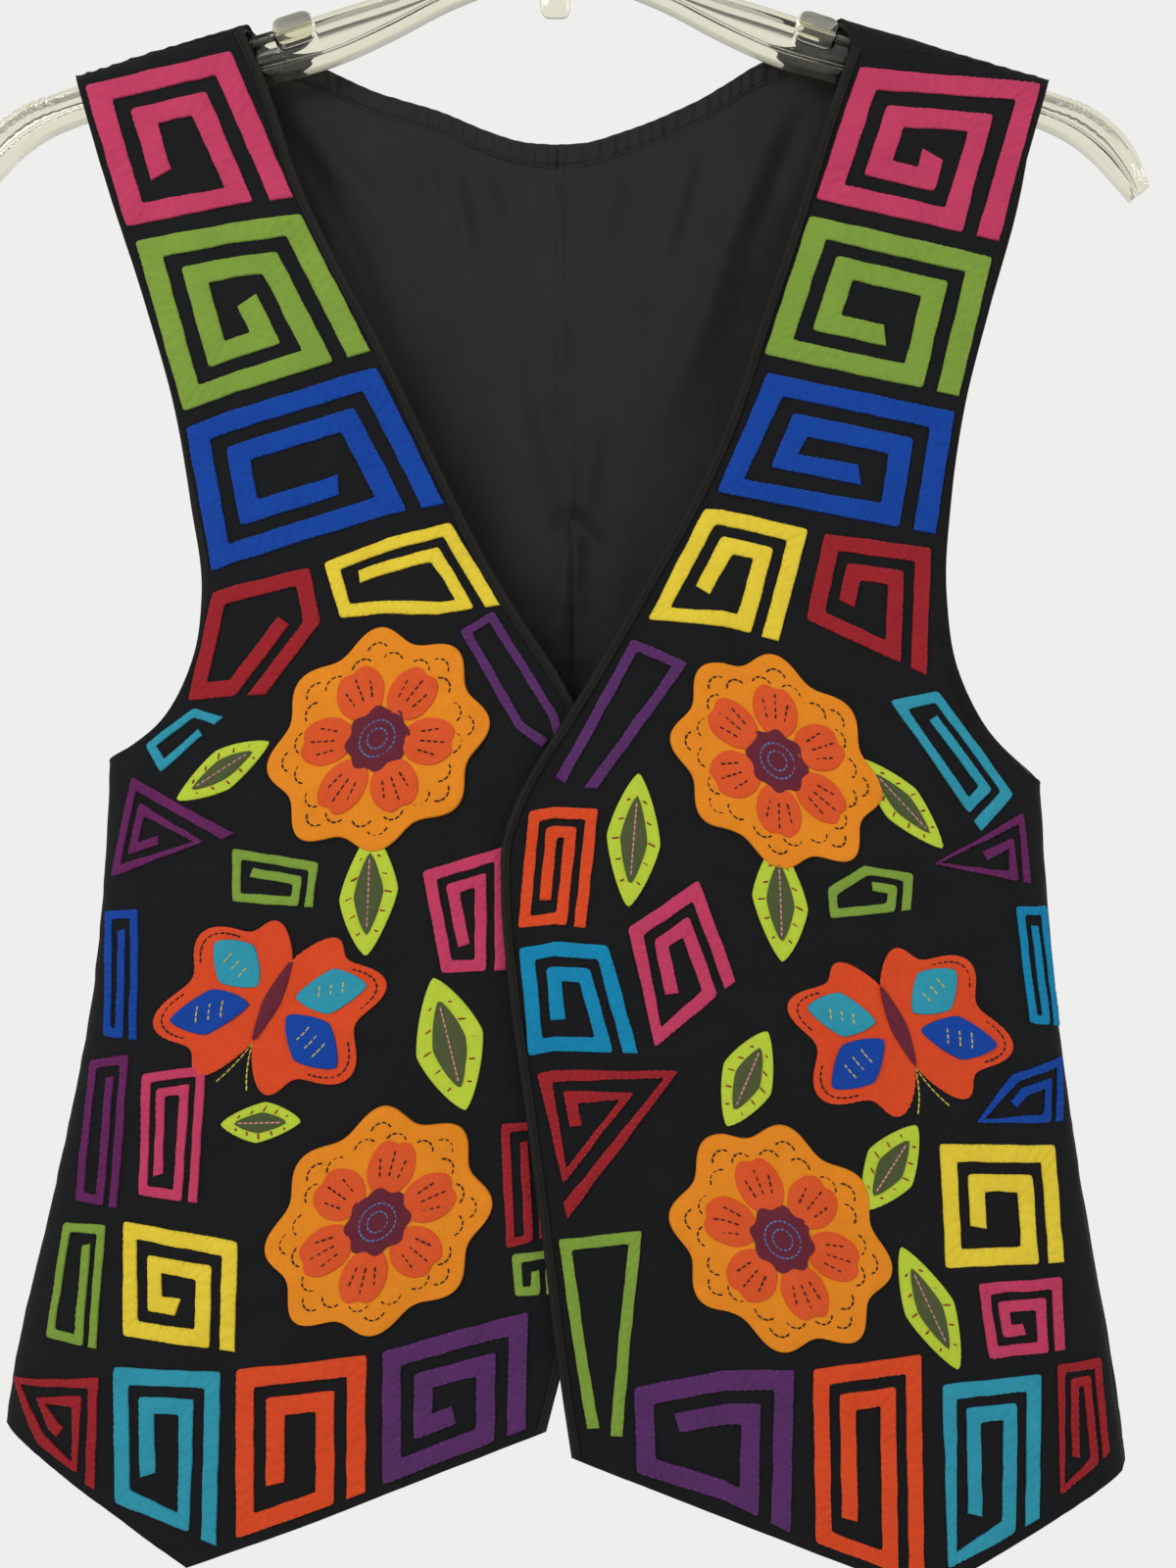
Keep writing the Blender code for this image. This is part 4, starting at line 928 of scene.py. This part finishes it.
def stitches(starts, ends, height, radius, laps):
    """(points, faces, places) of many short stitches between pairs of (s, q), each a spindle with four sides.

    Its middle line dips under the cloth at both ends, and a ring of four points is carried along it.
    """
    along = ends - starts
    across = np.stack([-along[:, 1], along[:, 0]], axis=1) / np.linalg.norm(along, axis=1, keepdims=True)
    turn = np.radians([0, 90, 180, 270])
    girth = radius * STITCH_GIRTHS[None, :, None]
    middle = starts[:, None] + along[:, None] * STITCH_STATIONS[None, :, None]
    places = middle[:, :, None] + across[:, None, None] * (girth * np.cos(turn))[..., None]
    lift = np.reshape(height, (-1, 1, 1)) + STITCH_HEIGHTS[None, :, None] + girth * np.sin(turn)
    points = on_cloth(FRONT, places, lift, laps).reshape(-1, 3)
    count, stations_in, sides = places.shape[:3]
    offset = (np.arange(count) * stations_in * sides)[:, None, None]
    tube = grid_faces(stations_in, sides, wrap=True)[None] + offset
    ends_of = np.array([[3, 2, 1, 0], np.arange(4) + (stations_in - 1) * sides])[None] + offset
    return points, [tube.reshape(-1, 4), ends_of.reshape(-1, 4)], places.reshape(-1, 2)


def edge_stitches(edge, inward, laps):
    """The small stitches that hold a turned edge: each crosses the rim at a slant, a few tenths in."""
    run = run_along(edge)
    at = np.arange(1.2, run[-1] - 0.8, STITCH_STEP)
    place = at_lengths(at, run, edge)
    way = unit(at_lengths(at, run, inward))
    slant = np.stack([-way[:, 1], way[:, 0]], axis=1)
    return stitches(place + way * 0.15, place + way * 1.05 + slant * 0.35, CLOTH_REST + 0.72, 0.17, laps)


def together(*parts):
    """One (points, faces, places) from several."""
    points, faces, places, count = [], [], [], 0
    for some_points, some_faces, some_places in parts:
        faces += [group + count for group in some_faces]
        points.append(some_points)
        places.append(some_places)
        count += len(some_points)
    return np.concatenate(points), faces, np.concatenate(places)


def banded_block(name, side, colour, corners, stands_for=()):
    """A block's band: as wide as the block allows, coiled in from its outline, with its edge stitches."""
    places = to_cloth(FRONT, corners)
    width = band_width(places)
    seed = 1 + 0.37 * len(sewn_on[LEFT]) + 0.53 * len(sewn_on[RIGHT])
    laps = side == LEFT
    left, right, run = band_edges(*spiral(places, width, GAP_SHARE * width), width, seed)
    band = strip_grid(left, right, run, band_relief(seed), laps)
    sewn = [edge_stitches(left, right - left, laps), edge_stitches(right, left - right, laps)]
    points, faces, places = together(band, *sewn)
    made = piece(name, points, faces, places, dyed[colour], stands_for, threads_from=len(band[0]))
    sewn_on[side].append(made)


for side, word in SIDES:
    for name, (colour, corners) in BLOCKS[side].items():
        banded_block(f"{name}_band_{word}", side, colour, corners, [f"{name}_{word}"])

# Two more blocks on the right front, half under the left one's edge
UNDERLAPPED = {
    "under_red": ("red", [(-19, 500), (-4, 499), (-2, 540), (-17, 544)]),
    "under_green": ("green", [(-15, 546), (0, 544), (0.5, 560), (-14, 561)]),
}
for name, (colour, corners) in UNDERLAPPED.items():
    banded_block(f"{name}_band_right", RIGHT, colour, corners)

# Small blocks that fill the gaps between the figures
FILLERS = {
    RIGHT: {"under_wing": ("pink", [(-148, 484), (-124, 480), (-127, 529), (-149, 527)])},
    LEFT: {
        "under_wing": ("blue", [(164, 484), (184, 478), (183.5, 502), (148, 502)]),
        "beside_wing": ("cyan", [(166, 424), (178, 424), (183, 468), (171, 466)]),
        "over_hem": ("pink", [(151, 558), (182, 557), (183, 583), (155, 585)]),
    },
}
for side, word in SIDES:
    for name, (colour, corners) in FILLERS[side].items():
        banded_block(f"{name}_band_{word}", side, colour, corners)

# The figures: flowers, leaves and butterflies, cut from dyed cotton and laid on in two or three layers.
# Each layer's edge is turned under, the lowest leaf and wing layers are stitched down round it, and running
# stitches draw rings, veins and wing bars.

PATCH_RIM = np.array([0, 0.015, 0.06, 0.16, 0.35, 0.7, 1.1, 1.6])
RING_STEP, SPOKE_STEP = 1.7, 1.15


def patch_grid(middle, radius_at, base, height, laps, seed):
    """(points, faces, places) of a shape of cloth round its middle, its rim turned under, its underside flat.

    Rings close in from a rim given as a radius for each angle: close ones over the turn, then even.
    """
    spokes = int(np.clip(2 * math.pi * radius_at(np.linspace(0, 6.28, 60)).max() / SPOKE_STEP, 22, 200))
    angle = np.linspace(0, 2 * math.pi, spokes, endpoint=False)
    reach = radius_at(angle)
    rings = max(2, int((reach.max() - PATCH_RIM[-1]) / RING_STEP))
    rest = np.linspace(1, 0, rings + 1)[1:-1, None]
    closing = reach - PATCH_RIM[:, None] * np.minimum(1, 0.5 * reach / PATCH_RIM[-1])
    radius = np.concatenate([closing, closing[-1:] * rest])
    places = middle + np.stack([np.cos(angle), np.sin(angle)], axis=1)[None] * radius[..., None]
    inside = reach - radius
    pucker = 0.17 * uneven(places[..., 0], places[..., 1], 6.0, seed) * np.clip(inside / 1.4, 0, 1)
    dip = 0.14 * np.exp(-(((inside - 0.95) / 0.35) ** 2))
    lift = base + height * turned_up(inside) + pucker - dip
    points = on_cloth(FRONT, places, lift, laps).reshape(-1, 3)
    centres = on_cloth(FRONT, np.array([middle, middle]), np.array([base + height, base]), laps)
    rows, size = places.shape[0], places.shape[0] * spokes
    around_it = np.arange(spokes)
    after = np.roll(around_it, -1)
    inner = (rows - 1) * spokes
    top = np.stack([inner + around_it, inner + after, np.full(spokes, size)], axis=1)
    under = np.stack([after, around_it, np.full(spokes, size + 1)], axis=1)
    faces = [grid_faces(rows, spokes, wrap=True), top, under]
    return np.concatenate([points, centres]), faces, np.concatenate([places.reshape(-1, 2), [middle, middle]])


def cut_patch(name, side, middle, radius_at, base, finish, stands_for=(), height=PATCH_HEIGHT):
    """One layer of a figure, with stitches round its rim where it lies low on the front cloth."""
    laps = side == LEFT
    seed = 2 + 0.61 * len(sewn_on[side])
    angle = np.linspace(0, 2 * math.pi, 180)
    rim = polar(middle, angle, radius_at(angle)[:, None])
    body = patch_grid(middle, radius_at, base, height, laps, seed)
    lies_on_front = height < 1 and base < 0.5
    points, faces, places = together(body, edge_stitches(rim, middle - rim, laps)) if lies_on_front else body
    made = piece(name, points, faces, places, finish, stands_for, threads_from=len(body[0]))
    sewn_on[side].append(made)


def flower_rim(radius):
    return lambda angle: radius * (0.93 + 0.07 * np.cos(8 * angle))


def leaf_rim(length, width, heading):
    """A pointed oval."""

    def radius(angle):
        turn = angle - heading
        return (np.abs(np.cos(turn) / length) ** 1.3 + np.abs(np.sin(turn) / width) ** 1.3) ** (-1 / 1.3)

    return radius


def butterfly_rim(span, heading):
    """Four wings: the radius swells twice on each side and narrows at the head and the tail."""

    def radius(angle):
        turn = angle - heading
        swell = np.abs(np.sin(turn)) ** 0.7 * (1 - 0.34 * np.cos(4 * turn) ** 2)
        return span * (0.28 + 0.62 * swell * (1 - 0.16 * np.cos(turn)))

    return radius


def petal_rim(length, width, heading):
    """An oval with a notch at its outer end."""

    def radius(angle):
        turn = (angle - heading + math.pi) % (2 * math.pi) - math.pi
        oval = (np.abs(np.cos(turn) / length) ** 2 + np.abs(np.sin(turn) / width) ** 2) ** -0.5
        return oval * (1 - 0.2 * np.exp(-((turn / 0.3) ** 2)))

    return radius


def toward(heading, distance):
    return np.array([math.cos(heading), math.sin(heading)]) * distance


def running(side, colour, line, height, long=2.1, short=1.0):
    """Notes running stitches along a line of (s, q), at a height over the cloth."""
    run = run_along(line)
    at = np.arange(0.2, run[-1] - 0.6 * long, long + short)
    first, second = (at_lengths(a, run, line) for a in (at, at + long))
    sewing[side].setdefault(colour, []).append((first, second, np.full(len(at), height)))


def arc(middle, radius, start, end):
    return polar(middle, np.linspace(start, end, 40), radius)


THREADS = {
    "black": ("#16161A", "black_cotton"),
    "blue_grey": ("#5A80B4", "blue"),
    "pale_pink": ("#DE9C9C", "pink"),
    "brown_red": ("#96301F", "red"),
    "pale_yellow": ("#DCCB62", "yellow"),
}
sewing = {LEFT: {}, RIGHT: {}}
maroon_cotton = woven("maroon_cotton", "#722638", "#5F1E30", stitch="#5A80B4", sheen=0.04)
petal_cotton = woven("scarlet_cotton", "#EA5F2C", "#DC5020", stitch="#F09468", sheen=0.04)
olive_cotton = woven("olive_cotton", "#566038", "#465030", stitch="#8A9460", sheen=0.04)

FLOWERS = {
    RIGHT: [("flower_upper", (-63, 364), 40, 0.2), ("flower_lower", (-62, 534), 40, 0.75)],
    LEFT: [("flower_upper", (79, 372), 38, 0.5), ("flower_lower", (80, 540), 40, 0.05)],
}
LEAVES = {
    RIGHT: [("leaf_upper", (-119, 375), 18, 8, -18), ("leaf_lower", (-37, 472), 25, 12, 75)],
    LEFT: [
        ("leaf_upper", (28, 400), 24, 9.5, 95),
        ("leaf_lower", (133, 566), 22, 10, 60),
        ("leaf_middle", (68, 484), 20, 9, 110),
    ],
}
# More leaves, whose inner ends lie under the flowers
SMALL_LEAVES = {
    RIGHT: [("leaf_under", (-66, 419), 22, 10.5, 92), ("leaf_over", (-104, 500), 15, 7, 12)],
    LEFT: [
        ("leaf_under", (80, 422), 21, 10, 88),
        ("leaf_side", (124, 387), 19, 8.5, 38),
        ("leaf_over", (119, 516), 20, 9, -62),
    ],
}
BUTTERFLIES = {RIGHT: ((-100, 457), 49, -62), LEFT: ((122, 466), 48, -118)}
LAYER = 0.86
FLOWER_DEPTH = 1.45


def flower(name, side, word, centre, radius, turned):
    """A lobed disc, six notched petals on it and a round middle, with arcs, veins and rings of stitches."""
    middle = to_cloth(FRONT, [centre])[0]
    top = CLOTH_REST + FLOWER_DEPTH
    disc, whole = flower_rim(radius), [f"{name}_{word}"]
    cut_patch(f"{name}_disc_{word}", side, middle, disc, CLOTH_REST, dyed["amber"], whole, FLOWER_DEPTH)
    for k in range(6):
        heading = turned + k * math.pi / 3
        where = middle + toward(heading, 0.47 * radius)
        rim = petal_rim(0.25 * radius, 0.21 * radius, heading)
        cut_patch(f"{name}_petal_{k + 1}_{word}", side, where, rim, top + 0.02, petal_cotton, (), 0.6)
        for off in (-0.42, 0, 0.42):
            ends = [middle + toward(heading + off * 0.5, r * radius) for r in (0.38, 0.64 - 0.16 * abs(off))]
            running(side, "black", np.stack(ends), top + 0.62, 1.9, 0.5)
    for k in range(8):
        heading = k * math.pi / 4
        for off, away, wide in ((0, 0.86, 0.34), (0.2, 0.76, 0.26), (-0.2, 0.76, 0.26)):
            where = middle + toward(heading + off, (away - 0.1) * radius)
            line = arc(where, 0.1 * radius, heading + off - 1.15, heading + off + 1.15)
            running(side, "black", line, top, 2.0, 0.3)
    eye = flower_rim(0.3 * radius)
    cut_patch(f"{name}_middle_{word}", side, middle, eye, top + 0.02, maroon_cotton, (), 0.8)
    for size in (0.09, 0.16):
        running(side, "blue_grey", arc(middle, size * radius, 0, 6.2), top + 0.84, 1.5, 0.25)


def leaf(name, side, word, centre, length, width, degrees, stands_for=()):
    """A plump pointed oval with a darker one on it, a stitched vein and slanting ticks along both sides."""
    middle, heading = to_cloth(FRONT, [centre])[0], math.radians(degrees)
    outer = leaf_rim(length, width, heading)
    cut_patch(f"{name}_lime_{word}", side, middle, outer, CLOTH_REST, dyed["lime"], stands_for)
    inner = leaf_rim(0.66 * length, 0.5 * width, heading)
    cut_patch(f"{name}_olive_{word}", side, middle, inner, CLOTH_REST + 0.84, olive_cotton, (), 0.55)
    vein = np.stack([middle + toward(heading, r * length) for r in (-0.56, 0.56)])
    running(side, "pale_pink", vein, CLOTH_REST + 1.42, 1.7, 0.3)
    across, ticks = toward(heading + math.pi / 2, 1), []
    for sign in (-1, 1):
        for share in np.linspace(-0.6, 0.6, 5):
            bow = sign * width * (1 - abs(share) ** 1.2)
            start = middle + share * toward(heading, length) + 0.52 * bow * across
            ticks.append((start, start + 0.3 * bow * across + toward(heading, 0.9)))
    first, second = (np.array([tick[k] for tick in ticks]) for k in range(2))
    sewing[side].setdefault("brown_red", []).append((first, second, np.full(len(first), CLOTH_REST + 0.82)))


def butterfly(side, word, centre, span, degrees):
    """Orange wings with blue and turquoise panels, a maroon body and stitched wing bars and feelers."""
    middle, heading = to_cloth(FRONT, [centre])[0], math.radians(degrees)
    rim = butterfly_rim(span, heading)
    whole = [f"butterfly_{word}"]
    cut_patch(f"butterfly_wings_{word}", side, middle, rim, CLOTH_REST, dyed["orange"], whole)
    for sign, hand in ((1, "one"), (-1, "two")):
        for part, turn, away, length, width, colour in (
            ("fore", 1.97, 0.47, 0.3, 0.16, "blue"),
            ("hind", 1.17, 0.43, 0.26, 0.16, "teal"),
        ):
            way = heading + sign * turn
            where = middle + toward(way, away * span)
            panel = leaf_rim(length * span, width * span, way)
            cut_patch(f"butterfly_{part}_{hand}_{word}", side, where, panel, CLOTH_REST + LAYER, dyed[colour])
            tips = way + np.linspace(-0.24, 0.24, 40)
            near_tip = polar(middle, tips, (rim(tips) - 0.07 * span)[:, None])
            running(side, "black", near_tip, CLOTH_REST + LAYER, 2.0, 0.3)
            for share in (0.8, 1.0, 1.2):
                bar = arc(middle, share * away * span, way - 0.13 / share, way + 0.13 / share)
                running(side, "pale_yellow", bar, CLOTH_REST + 2 * LAYER - 0.04, 1.8, 0.3)
        bend = np.linspace(0, 1, 12)
        feeler = polar(middle, heading + math.pi - sign * 0.22 * bend, (0.3 + 0.34 * bend)[:, None] * span)
        running(side, "pale_yellow", feeler, 0.05, 1.8, 0.3)
    body = leaf_rim(0.3 * span, 0.07 * span, heading)
    cut_patch(f"butterfly_body_{word}", side, middle, body, CLOTH_REST + LAYER, maroon_cotton)


for side, word in SIDES:
    for name, centre, radius, turned in FLOWERS[side]:
        flower(name, side, word, centre, radius, turned)
    for name, centre, length, width, degrees in LEAVES[side]:
        leaf(name, side, word, centre, length, width, degrees, [f"{name}_{word}"])
    for name, centre, length, width, degrees in SMALL_LEAVES[side]:
        leaf(name, side, word, centre, length, width, degrees)
    butterfly(side, word, *BUTTERFLIES[side])

for side, word in SIDES:
    for colour, rows in sewing[side].items():
        tone, slot = THREADS[colour]
        starts, ends, heights = (np.concatenate([row[k] for row in rows]) for k in range(3))
        points, faces, places = stitches(starts, ends, heights, 0.3, side == LEFT)
        thread = woven(f"{colour}_thread_{word}", tone, tone, thread=0.4, sheen=0.1, roughness=0.6)
        sewn_on[side].append(piece(f"{colour}_stitches_{word}", points, faces, places, thread))

# The hanger: clear styrene, moulded in one piece. Its arms are I beams, whose round rails show as lines.
# A boss takes the hook's foot, with a short tongue under it, and each arm has a tab by the strap.

ARM_TOP = [(0, 66), (20, 73), (40, 82.5), (60, 90), (80, 96.3), (103, 103.9), (115, 107.4), (125, 110.2)]
ARM_TOP += [(150, 117.3), (181, 126.4), (196, 131.9), (207, 140.5), (214, 151), (217.5, 161)]
ARM_BOTTOM = [(0, 82), (20, 88), (40, 96), (60, 106.5), (80, 115.5), (103, 122), (125, 127)]
ARM_BOTTOM += [(150, 132), (176, 138), (187, 143), (197, 150.5), (205, 159), (211, 166)]
ARM_HALF_THICK = 5.4
WEB_HALF_THICK = 1.3
TONGUE_END = 99.5


def rounded(ring, times=2):
    """Corner cutting: each side of a closed ring is kept between its quarter and three quarter points."""
    for _ in range(times):
        after = np.roll(ring, -1, axis=-2)
        ring = np.stack([0.75 * ring + 0.25 * after, 0.25 * ring + 0.75 * after], axis=-2)
        ring = ring.reshape(*ring.shape[:-3], -1, ring.shape[-1])
    return ring


def tube(rings):
    """(points, faces) of a closed tube through rings of points, its two ends closed."""
    count, size = rings.shape[:2]
    ends = np.stack([np.arange(size)[::-1], (count - 1) * size + np.arange(size)])
    return rings.reshape(-1, 3), [grid_faces(count, size, wrap=True), ends]


def arm_rings(top, bottom):
    """For each pair of edge points the ring of an I beam's section: round-topped rails and a thin web."""
    reach = np.linalg.norm(top - bottom, axis=1)
    rail = np.minimum(4.6, 0.34 * reach)
    zero = 0 * reach
    half = [(zero, 2.4), (zero + 1.1, 4.3), (rail - 0.8, ARM_HALF_THICK), (rail + 0.9, WEB_HALF_THICK)]
    half += [(reach - h, t) for h, t in half[::-1]]
    ring = half + [(h, -t) for h, t in half[::-1]]
    depth = np.stack([h for h, _ in ring], axis=1)
    thick = np.array([t for _, t in ring])
    along = (bottom - top) / reach[:, None]
    x = top[:, :1] + along[:, :1] * depth
    drop = top[:, 1:] + along[:, 1:] * depth
    return rounded(np.stack([x, np.broadcast_to(thick, x.shape), -drop], axis=-1))


def with_middle_places(points, faces):
    """Flat parts of the hanger have no cloth under them: their places are x and drop."""
    return points, faces, np.stack([points[:, 0], -points[:, 2]], axis=1)


def slab(outline, half_thick, edge=1.2):
    """(points, faces) of a flat plate with a rounded edge: its outline is drawn in towards both faces."""
    outline = np.asarray(outline, float)
    middle = outline.mean(axis=0)
    reach = np.linalg.norm(outline - middle, axis=1).max()
    rings = []
    for t in np.linspace(-1, 1, 9):
        inset = edge * (1 - math.sqrt(max(0.0, 1 - abs(t) ** 3)))
        ring = middle + (outline - middle) * (1 - inset / reach)
        rings.append(np.stack([ring[:, 0], np.full(len(ring), t * half_thick), -ring[:, 1]], axis=1))
    return tube(np.array(rings))


def clear_plastic():
    """Clear moulded styrene, a little yellow with age: it bends light and shows fine flow lines and wear."""
    made = bpy.data.materials.new("clear_moulded_styrene")
    made.use_nodes = True
    tree = made.node_tree
    shader = tree.nodes["Principled BSDF"]
    shader.inputs["Base Color"].default_value = linear("#EFEDDA")
    shader.inputs["Transmission Weight"].default_value = 1.0
    shader.inputs["IOR"].default_value = 1.5
    place = add(tree, "ShaderNodeTexCoord").outputs["Object"]
    # Handling wear a few millimetres across, and flow lines about 10 mm long.
    wear = add(tree, "ShaderNodeTexNoise", {"Vector": place, "Scale": 260.0, "Detail": 4.0})
    rough = add(tree, "ShaderNodeMapRange", {"Value": wear.outputs["Fac"], "To Min": 0.03, "To Max": 0.1})
    tree.links.new(rough.outputs["Result"], shader.inputs["Roughness"])
    flow = add(tree, "ShaderNodeTexNoise", {"Vector": place, "Scale": 60.0, "Detail": 1.0})
    bump = add(tree, "ShaderNodeBump", {"Height": flow.outputs["Fac"], "Distance": 0.0004, "Strength": 0.15})
    tree.links.new(bump.outputs["Normal"], shader.inputs["Normal"])
    return made


arm_shares = np.concatenate([np.linspace(0, 0.78, 48), np.linspace(0.78, 1, 44)[1:]])
arm_top, arm_bottom = through(ARM_TOP, arm_shares), through(ARM_BOTTOM, arm_shares)
notches = 0.55 * np.clip(np.sin((arm_shares - 0.80) * 2 * math.pi / 0.0165), 0, 1)
notches = notches * (arm_shares > 0.80) * (arm_shares < 0.90)
arm_top[:, 1] += notches
tops = np.concatenate([arm_top[:0:-1] * (-1, 1), arm_top])
bottoms = np.concatenate([arm_bottom[:0:-1] * (-1, 1), arm_bottom])
turn = np.linspace(0, 2 * math.pi, 40, endpoint=False)
circle = np.stack([np.cos(turn), np.sin(turn)], axis=1)
boss = (0.0, 72.2) + np.sign(circle) * np.abs(circle) ** 0.5 * (6.6, 13.6)
squared = np.sign(circle) * np.abs(circle) ** 0.45
tongue = np.array([0.0, 0.5 * (80.0 + TONGUE_END)]) + squared * (6.0, 0.5 * (TONGUE_END - 80.0))
moulded = [with_middle_places(*tube(arm_rings(tops, bottoms))), with_middle_places(*slab(boss, 6.6, 2.0))]
moulded.append(with_middle_places(*slab(tongue, 2.6, 1.2)))
for side, word in SIDES:
    tilt = side * math.radians(18)
    turned = np.array([[math.cos(tilt), math.sin(tilt)], [-math.sin(tilt), math.cos(tilt)]])
    plate = squared * (8.0, 5.6) @ turned
    moulded.append(with_middle_places(*slab((side * 95.5, 104.5) + plate, 6.1, 1.0)))
points, faces, places = together(*moulded)
styrene = clear_plastic()
piece("clear_hanger", points, faces, places, styrene, ["hanger"])

# The hook: bright plated steel wire, bent over a former and pushed into the boss, where it can turn.

HOOK_WIRE = 1.8
HOOK_TURN = 20.0
BOSS_TOP = 58.0


def rod(line, radius, sides=14):
    """(points, faces) of a round rod along a line in the plane of the hanger, its two ends rounded off.

    Each ring is the line's point plus its radius times (normal cos + out sin), smaller over the last radius.
    """
    run = run_along(line)
    caps = radius * (1 - np.cos(np.linspace(0.15, math.pi / 2, 5)))
    between = np.linspace(radius, run[-1] - radius, len(line) * 3)[1:-1]
    at = np.concatenate([caps, between, run[-1] - caps[::-1]])
    centre = at_lengths(at, run, line)
    way = unit(np.gradient(centre, axis=0))
    rim = np.clip(np.minimum(at, run[-1] - at) / radius, 0, 1)
    girth = radius * np.sqrt(1 - (1 - rim) ** 2)
    turn = np.linspace(0, 2 * math.pi, sides, endpoint=False)
    wide = girth[:, None] * np.cos(turn)
    x = centre[:, :1] - way[:, 1:] * wide
    drop = centre[:, 1:] + way[:, :1] * wide
    return tube(np.stack([x, girth[:, None] * np.sin(turn), -drop], axis=-1))


def plated_steel():
    """Nickel-plated steel wire: bright and smooth, with rubbed patches."""
    made = bpy.data.materials.new("nickel_plated_wire")
    made.use_nodes = True
    tree = made.node_tree
    shader = tree.nodes["Principled BSDF"]
    shader.inputs["Metallic"].default_value = 1.0
    shader.inputs["Base Color"].default_value = linear("#C9C8C4")
    place = add(tree, "ShaderNodeTexCoord").outputs["Object"]
    rubbed = add(tree, "ShaderNodeTexNoise", {"Vector": place, "Scale": 180.0, "Detail": 3.0})
    rough = add(tree, "ShaderNodeMapRange", {"Value": rubbed.outputs["Fac"], "To Min": 0.12, "To Max": 0.34})
    tree.links.new(rough.outputs["Result"], shader.inputs["Roughness"])
    return made


hook_angle = np.radians(np.linspace(-28, 232, 70))
hook_turn = polar((0.0, HOOK_TURN - HOOK_WIRE), -hook_angle, HOOK_TURN)
foot = [(-5.0, 41.0), (-0.8, 45.5), (0.0, 50.0), (0.0, BOSS_TOP + 0.4)]
shank = through(np.concatenate([hook_turn[-1:], foot]), np.linspace(0, 1, 30))
wire_points, wire_faces = rod(np.concatenate([hook_turn[:-1], shank]), HOOK_WIRE, 20)
wire_places = np.stack([wire_points[:, 0], -wire_points[:, 2]], axis=1)
piece("wire_hook", wire_points, wire_faces, wire_places, plated_steel(), ["hook"])

# A plain pale floor far below, an even pale surround and two large soft lights.

FLOOR_DROP = -0.95
floor_mesh = bpy.data.meshes.new("floor")
floor_corners = [(x, y, FLOOR_DROP) for x, y in ((-1.6, -1.9), (1.6, -1.9), (1.6, 0.55), (-1.6, 0.55))]
floor_mesh.from_pydata(floor_corners, [], [(0, 1, 2, 3)])
paper = bpy.data.materials.new("pale_paper")
paper.use_nodes = True
paper.node_tree.nodes["Principled BSDF"].inputs["Base Color"].default_value = linear("#E4E4E2")
paper.node_tree.nodes["Principled BSDF"].inputs["Roughness"].default_value = 0.9
floor_mesh.materials.append(paper)
floor = bpy.data.objects.new("floor", floor_mesh)
bpy.context.scene.collection.objects.link(floor)

world = bpy.data.worlds.new("pale_studio")
world.use_nodes = True
surround = world.node_tree.nodes["Background"]
surround.inputs["Color"].default_value = linear("#F7F7F5")
heading = add(world.node_tree, "ShaderNodeTexCoord").outputs["Generated"]
rise = add(world.node_tree, "ShaderNodeSeparateXYZ", {"Vector": heading}).outputs["Z"]
steep = add(world.node_tree, "ShaderNodeMath", {0: rise}, operation="ABSOLUTE").outputs[0]
dimmed = {"Value": steep, "From Min": 0.45, "From Max": 0.85, "To Min": 0.92, "To Max": 0.22}
dimming = add(world.node_tree, "ShaderNodeMapRange", dimmed)
world.node_tree.links.new(dimming.outputs["Result"], surround.inputs["Strength"])
bpy.context.scene.world = world


def soft_light(name, place, aim, size, power):
    """A large square light at a place, turned to face a point."""
    data = bpy.data.lights.new(name, "AREA")
    data.shape, data.size, data.energy = "SQUARE", size, power
    lamp = bpy.data.objects.new(name, data)
    lamp.location = place
    lamp.rotation_euler = (Vector(aim) - Vector(place)).to_track_quat("-Z", "Y").to_euler()
    bpy.context.scene.collection.objects.link(lamp)


soft_light("key", (-0.9, -1.3, 0.5), (0, 0, -0.35), 0.8, 16)
soft_light("fill", (1.1, -1.0, -0.1), (0, 0, -0.4), 1.0, 4)

camera_data = bpy.data.cameras.new("camera")
camera_data.sensor_width = 36
camera_data.lens = 43.75
camera_data.sensor_fit = "AUTO"
camera = bpy.data.objects.new("camera", camera_data)
camera.location = (0.0119, -0.7, -0.38)
camera.rotation_euler = (math.pi / 2, 0, 0)
bpy.context.scene.collection.objects.link(camera)
bpy.context.scene.camera = camera
bpy.context.scene.view_settings.view_transform = "Standard"
